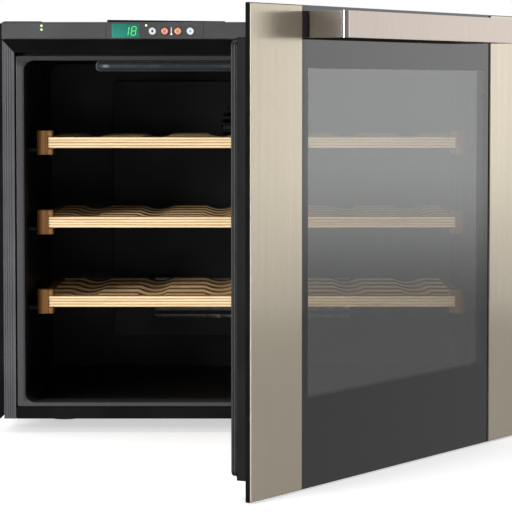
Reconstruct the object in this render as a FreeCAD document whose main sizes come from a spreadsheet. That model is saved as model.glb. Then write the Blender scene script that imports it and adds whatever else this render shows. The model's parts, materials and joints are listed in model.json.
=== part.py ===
import FreeCAD, Part
import math
import os

import Sketcher

"""A built-in wine cooler for a 45 cm niche, its door standing open on right-hand hinges.

Frame: the origin is the middle of the base plate's underside, +Z up, +X to the right as seen
from the front, and the front faces -Y. Lengths are millimetres. Door pieces are drawn round
the hinge axis as if the door were shut, and are then turned open about it.
"""

DRIVING_DIMENSIONS = {
    # cabinet
    "cabinet_width": 546,
    "cabinet_height": 436,
    "cabinet_depth": 530,
    "shell_sheet": 1.2,
    "base_thickness": 6,
    "foot_radius": 17,
    "foot_height": 15,
    "foot_recess": 3,
    "foot_recess_radius": 20,
    "foot_spacing_wide": 430,
    "foot_front_setback": 130,
    "foot_rear_setback": 480,
    # front surround
    "surround_side": 13.1,
    "surround_top": 14.4,
    "surround_depth": 14,
    "surround_gap": 0.3,
    "groove_wide": 1.1,
    "groove_deep": 0.8,
    "groove_pitch": 2.6,
    "sill_height": 13,
    "trim_leaf": 20,
    "trim_sheet": 3,
    "trim_setback": 10,
    "trim_return": 24,
    "trim_drop": 4,
    "trim_hole_radius": 2.25,
    "trim_hole_inset": 8,
    "trim_hole_low": 27.5,
    "trim_hole_spacing": 380,
    # control panel
    "panel_height": 18.7,
    "panel_proud": 5,
    "panel_wall": 2,
    "fascia_left": -159.1,
    "fascia_right": -52.9,
    "display_left": -152.7,
    "display_right": -122.5,
    "display_low": 418.6,
    "display_high": 434.4,
    "button_radius": 4.2,
    "button_clearance": 0.25,
    "button_level": 426,
    # liner and cavity
    "opening_half": 249.4,
    "opening_low": 17.9,
    "opening_high": 394.1,
    "opening_corner": 11,
    "cavity_back": 390,
    "liner_wall": 2,
    "flange_half": 258.2,
    "flange_low": 13.5,
    "flange_high": 399.2,
    "flange_setback": 1,
    "foam_back": 420,
    # lamp
    "lamp_half": 172,
    "lamp_low": 382.5,
    "lamp_front": 20,
    "lamp_back": 44,
    # shelves
    "shelf_first": 127.3,
    "shelf_pitch": 88.2,
    "shelf_front": 28,
    "shelf_rail_half": 225.7,
    "shelf_rail_tall": 12,
    "shelf_rail_deep": 18,
    "shelf_end_half": 238.8,
    "shelf_tab_half": 220.3,
    "shelf_end_tall": 27,
    "shelf_back": 340,
    "bottle_pitch": 75,
    "bottle_radius": 38,
    # door, measured from the hinge axis with the door shut
    "hinge_beside": 2.5,
    "hinge_ahead": 17,
    "door_rest_angle": 59.5,
    "door_width": 595,
    "door_height": 455,
    "door_low": -13.8,
    "door_past_hinge": 22,
    "glass_sheet": 4,
    "strip_width": 94.5,
    "strip_sheet": 1.5,
    "glass_front": -16,
    "frame_inset_side": 16,
    "frame_inset_top": 31,
    "frame_inset_low": 16.5,
    "frame_deep": 20,
    "frame_lip": 3.8,
    "window_border": 14,
    "window_top": 59,
    "window_low": 369,
    "pane_lap": 18,
    "side_sight": 33,
    "pane_play": 0.5,
    "spacer_wide": 12,
    "gasket_half": 276,
    "gasket_low": 5,
    "gasket_high": 408,
    "gasket_wide": 20,
    "handle_inset": 102,
    "handle_tall": 25,
    "handle_thick": 8,
    "handle_reach": 45,
    "handle_drop": 5.5,
    "handle_bend": 4,
    "handle_inner_bend": 1,
    # hinges
    "pin_radius": 2.5,
    "bush_radius": 4.5,
    "bush_play": 0.05,
    "hinge_sheet": 3,
    "hinge_arm_half": 5.5,
    # machine compartment
    "pipe_radius": 3,
}

doc = FreeCAD.newDocument("wine_cooler")
sheet = doc.addObject("Spreadsheet::Sheet", "dims")
for row, (alias, number) in enumerate(DRIVING_DIMENSIONS.items(), start=1):
    sheet.set(f"A{row}", alias.replace("_", " "))
    sheet.set(f"B{row}", str(number))
    sheet.setAlias(f"B{row}", alias)
doc.recompute()

# Places that many pieces share, as expressions on the sheet.
FRONT = "(-dims.cabinet_depth / 2)"
HALF_WIDTH = "(dims.cabinet_width / 2)"
PANEL_LOW = "(dims.cabinet_height - dims.panel_height)"
SURROUND_INNER = f"({HALF_WIDTH} - dims.surround_side)"
HINGE_X = f"({HALF_WIDTH} + dims.hinge_beside)"
HINGE_Y = f"({FRONT} - dims.hinge_ahead)"
DOOR_FREE = "(dims.door_past_hinge - dims.door_width)"
DOOR_TOP = "(dims.door_low + dims.door_height)"
PANE_FRONT = "(dims.glass_front + dims.glass_sheet + dims.spacer_wide)"

PLANES = {"XY": "XY_Plane", "XZ": "XZ_Plane", "YZ": "YZ_Plane"}
TURN_TO = {
    "x": FreeCAD.Rotation(FreeCAD.Vector(0, 1, 0), 90),
    "y": FreeCAD.Rotation(FreeCAD.Vector(1, 0, 0), -90),
    "z": FreeCAD.Rotation(),
}

nodes = []


def value(expression):
    """The number that an expression on the sheet stands for."""
    found = sheet.evalExpression(str(expression))
    return float(getattr(found, "Value", found))


def behind(distance):
    """The y of a place this far behind the cabinet's front plane."""
    return f"({FRONT} + {distance})"


def keep(piece, label):
    """Names a finished sub-part and lists it for export."""
    piece.Label = label
    nodes.append(piece)
    return piece


def place(piece, x=None, y=None, z=None):
    """Binds the given coordinates of a piece's position."""
    for axis, expression in zip("xyz", (x, y, z)):
        if expression is not None:
            piece.setExpression(f"Placement.Base.{axis}", str(expression))


# ---------------------------------------------------------------- primitives and booleans


def box(x, y, z, name="block"):
    """A block between the pairs of expressions x, y and z."""
    block = doc.addObject("Part::Box", name)
    for (low, high), size, axis in zip((x, y, z), ("Length", "Width", "Height"), "xyz"):
        block.setExpression(size, f"({high}) - ({low})")
        block.setExpression(f"Placement.Base.{axis}", str(low))
    return block


def rod(axis, start, length, radius, name="rod"):
    """A cylinder along an axis from the point start."""
    cylinder = doc.addObject("Part::Cylinder", name)
    cylinder.setExpression("Radius", str(radius))
    cylinder.setExpression("Height", str(length))
    cylinder.Placement = FreeCAD.Placement(FreeCAD.Vector(), TURN_TO[axis])
    place(cylinder, *start)
    return cylinder


def taper(axis, start, length, radii, name="taper"):
    """A cone frustum along an axis from the point start."""
    cone = doc.addObject("Part::Cone", name)
    cone.setExpression("Radius1", str(radii[0]))
    cone.setExpression("Radius2", str(radii[1]))
    cone.setExpression("Height", str(length))
    cone.Placement = FreeCAD.Placement(FreeCAD.Vector(), TURN_TO[axis])
    place(cone, *start)
    return cone


def fuse(pieces, name="union"):
    """One solid from several that meet."""
    union = doc.addObject("Part::MultiFuse", name)
    union.Shapes = pieces
    return union


def cut(base, tools, name="cut"):
    """The base less every tool."""
    tool = tools[0] if len(tools) == 1 else fuse(tools, f"{name}_tools")
    result = doc.addObject("Part::Cut", name)
    result.Base = base
    result.Tool = tool
    return result


def group(pieces, name="group"):
    """Separate solids that share a node."""
    compound = doc.addObject("Part::Compound", name)
    compound.Links = pieces
    return compound


def mirror(piece, name="mirror"):
    """The piece's image across the plane x = 0."""
    image = doc.addObject("Part::Mirroring", name)
    image.Source = piece
    image.Base = FreeCAD.Vector()
    image.Normal = FreeCAD.Vector(1, 0, 0)
    return image


def round_edges(base, radius, wanted, name="rounded"):
    """Fillets the base's edges that the test wanted picks."""
    doc.recompute()
    fillet = doc.addObject("Part::Fillet", name)
    fillet.Base = base
    size = value(radius)
    fillet.Edges = [
        (number, size, size)
        for number, edge in enumerate(base.Shape.Edges, start=1)
        if wanted(edge)
    ]
    return fillet


def runs_along(edge, axis):
    """Whether an edge is straight and parallel to an axis."""
    if not isinstance(edge.Curve, Part.Line):
        return False
    return abs(abs(edge.Curve.Direction.dot(axis)) - 1) < 1e-6


# ---------------------------------------------------------------- sketched bodies


def new_body(name):
    """An empty body that sketches and features go into."""
    return doc.addObject("PartDesign::Body", f"{name}_body")


def sketch_on(body, plane, offset=0):
    """A sketch on one of the body's own origin planes, moved along the plane's normal."""
    sketch = body.newObject("Sketcher::SketchObject", "sketch")
    role = PLANES[plane]
    support = next(item for item in body.Origin.OriginFeatures if item.Role == role)
    sketch.AttachmentSupport = (support, [""])
    sketch.MapMode = "FlatFace"
    sketch.setExpression("AttachmentOffset.Base.z", str(offset))
    return sketch


def pin_point(sketch, geometry, vertex, across=None, upward=None):
    """Holds a point of the sketch at the given distances from its origin."""
    for kind, expression in (("DistanceX", across), ("DistanceY", upward)):
        if expression is not None:
            amount = value(expression)
            rule = Sketcher.Constraint(kind, -1, 1, geometry, vertex, amount)
            index = sketch.addConstraint(rule)
            sketch.setExpression(f"Constraints[{index}]", str(expression))


def polygon(sketch, points):
    """A closed outline through points given as pairs of expressions."""
    corners = [FreeCAD.Vector(value(x), value(y), 0) for x, y in points]
    first = sketch.GeometryCount
    count = len(corners)
    for here, start in enumerate(corners):
        sketch.addGeometry(Part.LineSegment(start, corners[(here + 1) % count]), False)
    for here, (x, y) in enumerate(points):
        after = first + (here + 1) % count
        sketch.addConstraint(Sketcher.Constraint("Coincident", first + here, 2, after, 1))
        pin_point(sketch, first + here, 1, x, y)


def rectangle(sketch, x, y):
    """A rectangle between the pairs of expressions x and y."""
    polygon(sketch, [(x[0], y[0]), (x[1], y[0]), (x[1], y[1]), (x[0], y[1])])


def rounded_rectangle(sketch, x, y, radius):
    """A rectangle with round corners between the pairs of expressions x and y."""
    left, right, low, high = value(x[0]), value(x[1]), value(y[0]), value(y[1])
    bend = value(radius)
    first = sketch.GeometryCount
    corners = [(right, low, -1, 1), (right, high, -1, -1), (left, high, 1, -1), (left, low, 1, 1)]
    middles = [(px + sx * bend, py + sy * bend) for px, py, sx, sy in corners]
    starts = [(left + bend, low), (right, low + bend), (right - bend, high), (left, high - bend)]
    ends = [(right - bend, low), (right, high - bend), (left + bend, high), (left, low + bend)]
    for side, (start, end) in enumerate(zip(starts, ends)):
        line = Part.LineSegment(FreeCAD.Vector(*start, 0), FreeCAD.Vector(*end, 0))
        sketch.addGeometry(line, False)
        circle_of_corner = Part.Circle(
            FreeCAD.Vector(*middles[side], 0), FreeCAD.Vector(0, 0, 1), bend
        )
        turn = -math.pi / 2 + side * math.pi / 2
        sketch.addGeometry(Part.ArcOfCircle(circle_of_corner, turn, turn + math.pi / 2), False)
    for side in range(4):
        line = first + 2 * side
        following = first + 2 * ((side + 1) % 4)
        sketch.addConstraint(Sketcher.Constraint("Tangent", line, 2, line + 1, 1))
        sketch.addConstraint(Sketcher.Constraint("Tangent", line + 1, 2, following, 1))
        kind = "Vertical" if side % 2 else "Horizontal"
        sketch.addConstraint(Sketcher.Constraint(kind, line))
        if side:
            sketch.addConstraint(Sketcher.Constraint("Equal", first + 1, line + 1))
    index = sketch.addConstraint(Sketcher.Constraint("Radius", first + 1, bend))
    sketch.setExpression(f"Constraints[{index}]", str(radius))
    pin_point(sketch, first, 1, upward=y[0])
    pin_point(sketch, first + 2, 1, across=x[1])
    pin_point(sketch, first + 4, 1, upward=y[1])
    pin_point(sketch, first + 6, 1, across=x[0])


def circle(sketch, x, y, radius):
    """A circle about a point given by expressions."""
    middle = FreeCAD.Vector(value(x), value(y), 0)
    shape = Part.Circle(middle, FreeCAD.Vector(0, 0, 1), value(radius))
    geometry = sketch.addGeometry(shape, False)
    index = sketch.addConstraint(Sketcher.Constraint("Radius", geometry, value(radius)))
    sketch.setExpression(f"Constraints[{index}]", str(radius))
    pin_point(sketch, geometry, 3, x, y)


def body_volume(body):
    """The body's volume so far, nothing at all before its first feature."""
    return 0.0 if body.Shape.isNull() else body.Shape.Volume


def pad(body, sketch, length, backwards=False):
    """Adds a pad, and stops if it added nothing."""
    before = body_volume(body)
    feature = body.newObject("PartDesign::Pad", "pad")
    feature.Profile = sketch
    feature.Reversed = backwards
    feature.setExpression("Length", str(length))
    doc.recompute()
    if body_volume(body) <= before:
        raise ValueError(f"a pad of {body.Name} adds nothing")
    return feature


def pocket(body, sketch, length, backwards=False):
    """Adds a pocket, and stops if it removed nothing."""
    before = body_volume(body)
    feature = body.newObject("PartDesign::Pocket", "pocket")
    feature.Profile = sketch
    feature.Reversed = backwards
    feature.setExpression("Length", str(length))
    doc.recompute()
    if body_volume(body) >= before:
        raise ValueError(f"a pocket of {body.Name} removes nothing")
    return feature


def repeat(body, feature, axis_role, length, count):
    """Repeats a feature evenly along one of the body's axes, over a length."""
    pattern = body.newObject("PartDesign::LinearPattern", "pattern")
    axis = next(item for item in body.Origin.OriginFeatures if item.Role == axis_role)
    pattern.Originals = [feature]
    pattern.Direction = (axis, [""])
    pattern.Mode = "Extent"
    pattern.setExpression("Length", str(length))
    pattern.Occurrences = count
    body.Tip = pattern
    doc.recompute()
    return pattern


# ---------------------------------------------------------------- cabinet


def make_outer_shell():
    """Folded sheet: two sides and the top."""
    outside = box(
        (f"-{HALF_WIDTH}", HALF_WIDTH),
        (behind("dims.surround_depth"), behind("dims.cabinet_depth")),
        (0, "dims.cabinet_height"),
    )
    inner = f"({HALF_WIDTH} - dims.shell_sheet)"
    inside = box(
        (f"-{inner}", inner),
        (behind("dims.surround_depth - 1"), behind("dims.cabinet_depth + 1")),
        (-1, "dims.cabinet_height - dims.shell_sheet"),
    )
    drilled = hinge_screw_rods("dims.shell_sheet + 4", "2.1")
    keep(cut(outside, [inside, *drilled], "outer_shell_cut"), "outer_shell")


def make_base_plate():
    """Base tray with a round recess over each foot."""
    body = new_body("base_plate")
    inner = f"({HALF_WIDTH} - dims.shell_sheet)"
    outline = sketch_on(body, "XY")
    rectangle(
        outline,
        (f"-{inner}", inner),
        (behind("dims.surround_depth"), behind("dims.cabinet_depth - 2")),
    )
    pad(body, outline, "dims.base_thickness")
    recesses = sketch_on(body, "XY")
    for x, y in foot_places():
        circle(recesses, x, y, "dims.foot_recess_radius")
    pocket(body, recesses, "dims.foot_recess", backwards=True)
    keep(body, "base_plate")


def foot_places():
    """The four feet's positions."""
    across = ("-dims.foot_spacing_wide / 2", "dims.foot_spacing_wide / 2")
    along = (behind("dims.foot_front_setback"), behind("dims.foot_rear_setback"))
    return [(x, y) for x in across for y in along]


def make_feet():
    """Four rubber feet, chamfered where they meet the floor."""
    feet = []
    for x, y in foot_places():
        tread = taper("z", (x, y, "-dims.foot_height"), 2, ("dims.foot_radius - 2", "dims.foot_radius"))
        column = rod(
            "z",
            (x, y, "-dims.foot_height + 2"),
            "dims.foot_height + dims.foot_recess - 2",
            "dims.foot_radius",
        )
        feet.append(fuse([tread, column], "foot"))
    keep(group(feet, "feet_group"), "feet")


def make_rear_panel():
    """Steel sheet that closes the insulation towards the machine compartment."""
    body = new_body("rear_panel")
    outline = sketch_on(body, "XZ", f"-{behind('dims.foam_back')}")
    inner = f"({HALF_WIDTH} - dims.shell_sheet)"
    rectangle(
        outline,
        (f"-{inner}", inner),
        ("dims.base_thickness", "dims.cabinet_height - dims.shell_sheet"),
    )
    for x_place in PIPE_PLACES:
        circle(outline, x_place, PIPE_Z, "2 * dims.pipe_radius")
    pad(body, outline, "dims.shell_sheet", backwards=True)
    keep(body, "rear_panel")


def make_inner_liner():
    """Vacuum-formed tub with a front flange."""
    body = new_body("inner_liner")
    wall = "dims.liner_wall"
    flange = sketch_on(body, "XZ", f"-{behind('dims.flange_setback')}")
    rounded_rectangle(
        flange,
        ("-dims.flange_half", "dims.flange_half"),
        ("dims.flange_low", "dims.flange_high"),
        2,
    )
    pad(body, flange, wall, backwards=True)
    tub = sketch_on(body, "XZ", f"-{behind('dims.flange_setback')}")
    rounded_rectangle(
        tub,
        (f"-dims.opening_half - {wall}", f"dims.opening_half + {wall}"),
        (f"dims.opening_low - {wall}", f"dims.opening_high + {wall}"),
        f"dims.opening_corner + {wall}",
    )
    pad(body, tub, f"dims.cavity_back + {wall} - dims.flange_setback", backwards=True)
    cavity = sketch_on(body, "XZ", f"-{behind('dims.flange_setback')}")
    rounded_rectangle(
        cavity,
        ("-dims.opening_half", "dims.opening_half"),
        ("dims.opening_low", "dims.opening_high"),
        "dims.opening_corner",
    )
    pocket(body, cavity, "dims.cavity_back - dims.flange_setback")
    keep(body, "inner_liner")


def make_insulation():
    """Foam between the liner, the shell, the base and the rear panel."""
    inner = f"({HALF_WIDTH} - dims.shell_sheet)"
    block = box(
        (f"-{inner}", inner),
        (behind("dims.surround_depth"), behind("dims.foam_back")),
        ("dims.base_thickness", "dims.cabinet_height - dims.shell_sheet"),
    )
    wall = "dims.liner_wall"
    tub = box(
        (f"-dims.opening_half - {wall}", f"dims.opening_half + {wall}"),
        (behind("dims.surround_depth - 1"), behind(f"dims.cavity_back + {wall}")),
        (f"dims.opening_low - {wall}", f"dims.opening_high + {wall}"),
    )
    pipe_ways = [
        rod("y", (x_place, behind("dims.foam_back - 20"), PIPE_Z), 22, "dims.pipe_radius")
        for x_place in PIPE_PLACES
    ]
    tools = [tub, *pipe_ways, *hinge_screw_rods(16, "2.1")]
    keep(cut(block, tools, "foam_cut"), "insulation_foam")


# ---------------------------------------------------------------- front surround


def make_surround():
    """Grooved bars down both sides and across the top, mitred where they meet."""
    top = f"({PANEL_LOW} - dims.surround_gap)"
    side_outer = HALF_WIDTH
    side_inner = SURROUND_INNER
    bar_low = f"({top} - dims.surround_top)"
    left = new_body("front_frame_left")
    outline = sketch_on(left, "XZ", f"-{FRONT}")
    corners = [
        (f"-{side_outer}", 0),
        (f"-{side_inner}", 0),
        (f"-{side_inner}", f"{bar_low} - 0.2"),
        (f"-{side_outer}", f"{top} - 0.2"),
    ]
    polygon(outline, corners)
    pad(left, outline, "dims.surround_depth", backwards=True)
    grooves = sketch_on(left, "XZ", f"-{FRONT}")
    for step in range(4):
        near = f"(-{side_outer} + 1.6 + {step} * dims.groove_pitch)"
        rectangle(grooves, (near, f"{near} + dims.groove_wide"), (-1, f"{top} + 1"))
    pocket(left, grooves, "dims.groove_deep")
    keep(left, "front_frame_left")
    keep(mirror(left, "front_frame_mirror"), "front_frame_right")

    bar = new_body("front_frame_top")
    outline = sketch_on(bar, "XZ", f"-{FRONT}")
    corners = [
        (f"-{side_outer} + 0.2", top),
        (f"-{side_inner} + 0.2", bar_low),
        (f"{side_inner} - 0.2", bar_low),
        (f"{side_outer} - 0.2", top),
    ]
    polygon(outline, corners)
    pad(bar, outline, "dims.surround_depth", backwards=True)
    grooves = sketch_on(bar, "XZ", f"-{FRONT}")
    for step in range(4):
        near = f"({top} - 1.6 - {step} * dims.groove_pitch * dims.surround_top / dims.surround_side)"
        rectangle(
            grooves, (f"-{HALF_WIDTH} - 1", f"{HALF_WIDTH} + 1"), (f"{near} - dims.groove_wide", near)
        )
    pocket(bar, grooves, "dims.groove_deep")
    keep(bar, "front_frame_top")

    sill = new_body("bottom_panel")
    outline = sketch_on(sill, "XZ", f"-{FRONT}")
    rounded_rectangle(
        outline,
        (f"-{side_inner} + dims.surround_gap", f"{side_inner} - dims.surround_gap"),
        (0, "dims.sill_height"),
        0.8,
    )
    pad(sill, outline, "dims.surround_depth", backwards=True)
    keep(sill, "bottom_panel")


def trim_flange(side):
    """An angle beside the cabinet with screw holes; side is -1 for left and 1 for right."""
    near = f"{side} * {HALF_WIDTH}"
    far = f"{side} * ({HALF_WIDTH} + dims.trim_leaf)"
    low = "-dims.trim_drop"
    body = new_body(f"trim_flange_{side}")
    outline = sketch_on(body, "XZ", f"-{behind('dims.trim_setback')}")
    corners = [
        (near, f"{low} + 8"),
        (f"{near} + {side} * 8", low),
        (far, low),
        (far, "dims.cabinet_height - 1"),
        (near, "dims.cabinet_height - 1"),
    ]
    polygon(outline, corners)
    for height in trim_hole_heights():
        circle(outline, f"{far} - {side} * dims.trim_hole_inset", height, "dims.trim_hole_radius")
    pad(body, outline, "dims.trim_sheet", backwards=True)
    leaf = sketch_on(body, "XZ", f"-{behind('dims.trim_setback + dims.trim_sheet')}")
    rectangle(leaf, (near, f"{near} + {side} * 2"), (f"{low} + 8", "dims.cabinet_height - 1"))
    pad(body, leaf, "dims.trim_return - dims.trim_sheet", backwards=True)
    return body


def trim_hole_heights():
    """The heights of the trim's two screw holes."""
    return ("dims.trim_hole_low", "dims.trim_hole_low + dims.trim_hole_spacing")


def make_trim_flanges():
    """Both trims; the hinge arms pass through slots in the right one."""
    keep(trim_flange(-1), "trim_flange_left")
    right = trim_flange(1)
    slots = []
    for low, high in hinge_arm_levels():
        slots.append(
            box(
                (f"{HALF_WIDTH} - 1", f"{HINGE_X} + dims.hinge_arm_half + 0.6"),
                (behind("dims.trim_setback - 1"), behind("dims.trim_setback + dims.trim_return + 1")),
                (f"{low} - 0.6", f"{high} + 0.6"),
            )
        )
    keep(cut(right, slots, "trim_right_cut"), "trim_flange_right")


# ---------------------------------------------------------------- control panel

PIPE_PLACES = (-20, -60)
PIPE_Z = 60

BUTTON_PLACES = {
    "button_power": -108.4,
    "button_up": -95.0,
    "button_down": -80.6,
    "button_light": -67.0,
}
INDICATOR_PLACES = ((-229.5, 431.9), (-229.5, 427.7), (-115.2, 432.2))
INDICATOR_RADIUS = 1.1


def panel_shell(x, name):
    """A length of the panel moulding, open at the back."""
    wall = "dims.panel_wall"
    outside = box(
        x,
        (f"{FRONT} - dims.panel_proud", behind("dims.surround_depth")),
        (PANEL_LOW, "dims.cabinet_height"),
        f"{name}_outside",
    )
    upright = FreeCAD.Vector(1, 0, 0)
    face_y = value(f"{FRONT} - dims.panel_proud")
    rounded = round_edges(
        outside,
        2.2,
        lambda edge: runs_along(edge, upright) and abs(edge.CenterOfMass.y - face_y) < 0.01,
        f"{name}_rounded",
    )
    inside = box(
        (f"{x[0]} + {wall}", f"{x[1]} - {wall}"),
        (f"{FRONT} - dims.panel_proud + {wall}", behind("dims.surround_depth + 1")),
        (f"{PANEL_LOW} + 0.7", "dims.cabinet_height - 1.2"),
        f"{name}_inside",
    )
    return rounded, inside


def make_control_fascia():
    """The middle of the panel, with the display window and the buttons' holes."""
    gap = "dims.surround_gap / 2"
    x = (f"dims.fascia_left + {gap}", f"dims.fascia_right - {gap}")
    rounded, inside = panel_shell(x, "fascia")
    through = (f"{FRONT} - dims.panel_proud - 1", f"{FRONT}")
    window = box(
        ("dims.display_left", "dims.display_right"),
        through,
        ("dims.display_low", "dims.display_high"),
    )
    holes = [
        rod(
            "y",
            (x_place, through[0], "dims.button_level"),
            6,
            "dims.button_radius + dims.button_clearance",
        )
        for x_place in BUTTON_PLACES.values()
    ]
    x_place, height = INDICATOR_PLACES[2]
    holes.append(rod("y", (x_place, through[0], height), 6, INDICATOR_RADIUS))
    keep(cut(rounded, [inside, window, *holes], "fascia_cut"), "control_fascia")


def make_top_trim():
    """The panel's plain lengths on either side of the fascia."""
    gap = "dims.surround_gap / 2"
    left_shell, left_inside = panel_shell((f"-{HALF_WIDTH}", f"dims.fascia_left - {gap}"), "trim_l")
    lamps = [
        rod("y", (x_place, f"{FRONT} - dims.panel_proud - 1", height), 6, INDICATOR_RADIUS)
        for x_place, height in INDICATOR_PLACES[:2]
    ]
    left = cut(left_shell, [left_inside, *lamps], "trim_left_length")
    right_shell, right_inside = panel_shell((f"dims.fascia_right + {gap}", HALF_WIDTH), "trim_r")
    right = cut(right_shell, [right_inside], "trim_right_length")
    keep(group([left, right], "top_trim_group"), "top_trim")


def make_display():
    """Dark window in front of the digits."""
    play = 0.1
    window = box(
        (f"dims.display_left + {play}", f"dims.display_right - {play}"),
        (f"{FRONT} - dims.panel_proud - 0.2", f"{FRONT} - dims.panel_proud + dims.panel_wall"),
        (f"dims.display_low + {play}", f"dims.display_high - {play}"),
        "display_block",
    )
    keep(window, "display_window")


def make_control_board():
    """Circuit board with a display module and a switch behind each button."""
    board_front = f"({FRONT} + 4)"
    board = box(
        ("dims.fascia_left + 3", "dims.fascia_right - 3"),
        (board_front, f"{board_front} + 1.6"),
        (f"{PANEL_LOW} + 1", "dims.cabinet_height - 1.6"),
    )
    module = box(
        ("dims.display_left + 1", "dims.display_right - 1"),
        (f"{FRONT} - dims.panel_proud + dims.panel_wall + 0.2", board_front),
        ("dims.display_low + 0.5", "dims.display_high - 0.5"),
    )
    parts = [board, module]
    for x_place in BUTTON_PLACES.values():
        base = box(
            (f"{x_place} - 3", f"{x_place} + 3"),
            (f"{FRONT} + 0.6", board_front),
            ("dims.button_level - 3", "dims.button_level + 3"),
        )
        plunger = rod("y", (x_place, f"{FRONT} - 0.3", "dims.button_level"), 2, 1.5)
        parts.extend([base, plunger])
    keep(fuse(parts, "board_union"), "control_board")


def make_buttons():
    """Round push-buttons, each held by a collar behind the fascia."""
    for label, x_place in BUTTON_PLACES.items():
        body = new_body(label)
        cap = sketch_on(body, "XZ", f"-({FRONT} - dims.panel_proud - 1)")
        circle(cap, x_place, "dims.button_level", "dims.button_radius")
        pad(body, cap, "dims.panel_wall + 1.4", backwards=True)
        collar_front = f"({FRONT} - dims.panel_proud + dims.panel_wall + 0.3)"
        collar = sketch_on(body, "XZ", f"-{collar_front}")
        circle(collar, x_place, "dims.button_level", "dims.button_radius + 0.9")
        pad(body, collar, 1, backwards=True)
        keep(body, label)


def make_indicator_lights():
    """Light pipes, flush with the panel."""
    pipes = []
    for x_place, height in INDICATOR_PLACES:
        start = (x_place, f"{FRONT} - dims.panel_proud - 0.3", height)
        pipes.append(rod("y", start, "dims.panel_proud + 3", INDICATOR_RADIUS))
    keep(group(pipes, "indicator_group"), "indicator_lights")


# ---------------------------------------------------------------- cavity fittings


def make_lamp():
    """Ceiling light: a housing, a strip of lamps and a clear lens in front."""
    high = "dims.opening_high"
    body = new_body("lamp_housing")
    outline = sketch_on(body, "XZ", f"-{behind('dims.lamp_front')}")
    rounded_rectangle(outline, ("-dims.lamp_half", "dims.lamp_half"), ("dims.lamp_low", high), 4)
    pad(body, outline, "dims.lamp_back - dims.lamp_front", backwards=True)
    hollow = sketch_on(body, "XZ", f"-{behind('dims.lamp_front')}")
    inner_x = ("-dims.lamp_half + 3", "dims.lamp_half - 3")
    inner_z = ("dims.lamp_low + 1.6", f"{high} - 2")
    rounded_rectangle(hollow, inner_x, inner_z, 3.5)
    pocket(body, hollow, 10)
    keep(body, "lamp_housing")

    lens = new_body("lamp_lens")
    outline = sketch_on(lens, "XZ", f"-({behind('dims.lamp_front')} - 1.5)")
    rounded_rectangle(
        outline,
        (f"{inner_x[0]} + 0.1", f"{inner_x[1]} - 0.1"),
        (f"{inner_z[0]} + 0.1", f"{inner_z[1]} - 0.1"),
        3.4,
    )
    pad(lens, outline, 4, backwards=True)
    keep(lens, "lamp_lens")

    strip_back = f"({behind('dims.lamp_front')} + 10)"
    strip = box(
        ("-dims.lamp_half + 8", "dims.lamp_half - 8"),
        (f"{strip_back} - 1.2", strip_back),
        (f"{inner_z[0]} + 1", f"{inner_z[1]} - 1"),
    )
    lamps = [strip]
    for step in range(12):
        middle = f"(-dims.lamp_half + 20 + {step} * (2 * dims.lamp_half - 40) / 11)"
        lamps.append(
            box(
                (f"{middle} - 2", f"{middle} + 2"),
                (f"{strip_back} - 3", f"{strip_back} - 1.2"),
                (f"{inner_z[0]} + 1.8", f"{inner_z[1]} - 1.8"),
            )
        )
    keep(fuse(lamps, "strip_union"), "led_strip")


SHELVES = ("lower", "middle", "upper")


def make_shelves():
    """Three slatted beech shelves, each with a rail and a moulded block at both ends."""
    for step, name in enumerate(SHELVES):
        make_shelf(f"shelf_{name}", f"(dims.shelf_first + {step} * dims.shelf_pitch)")


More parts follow.
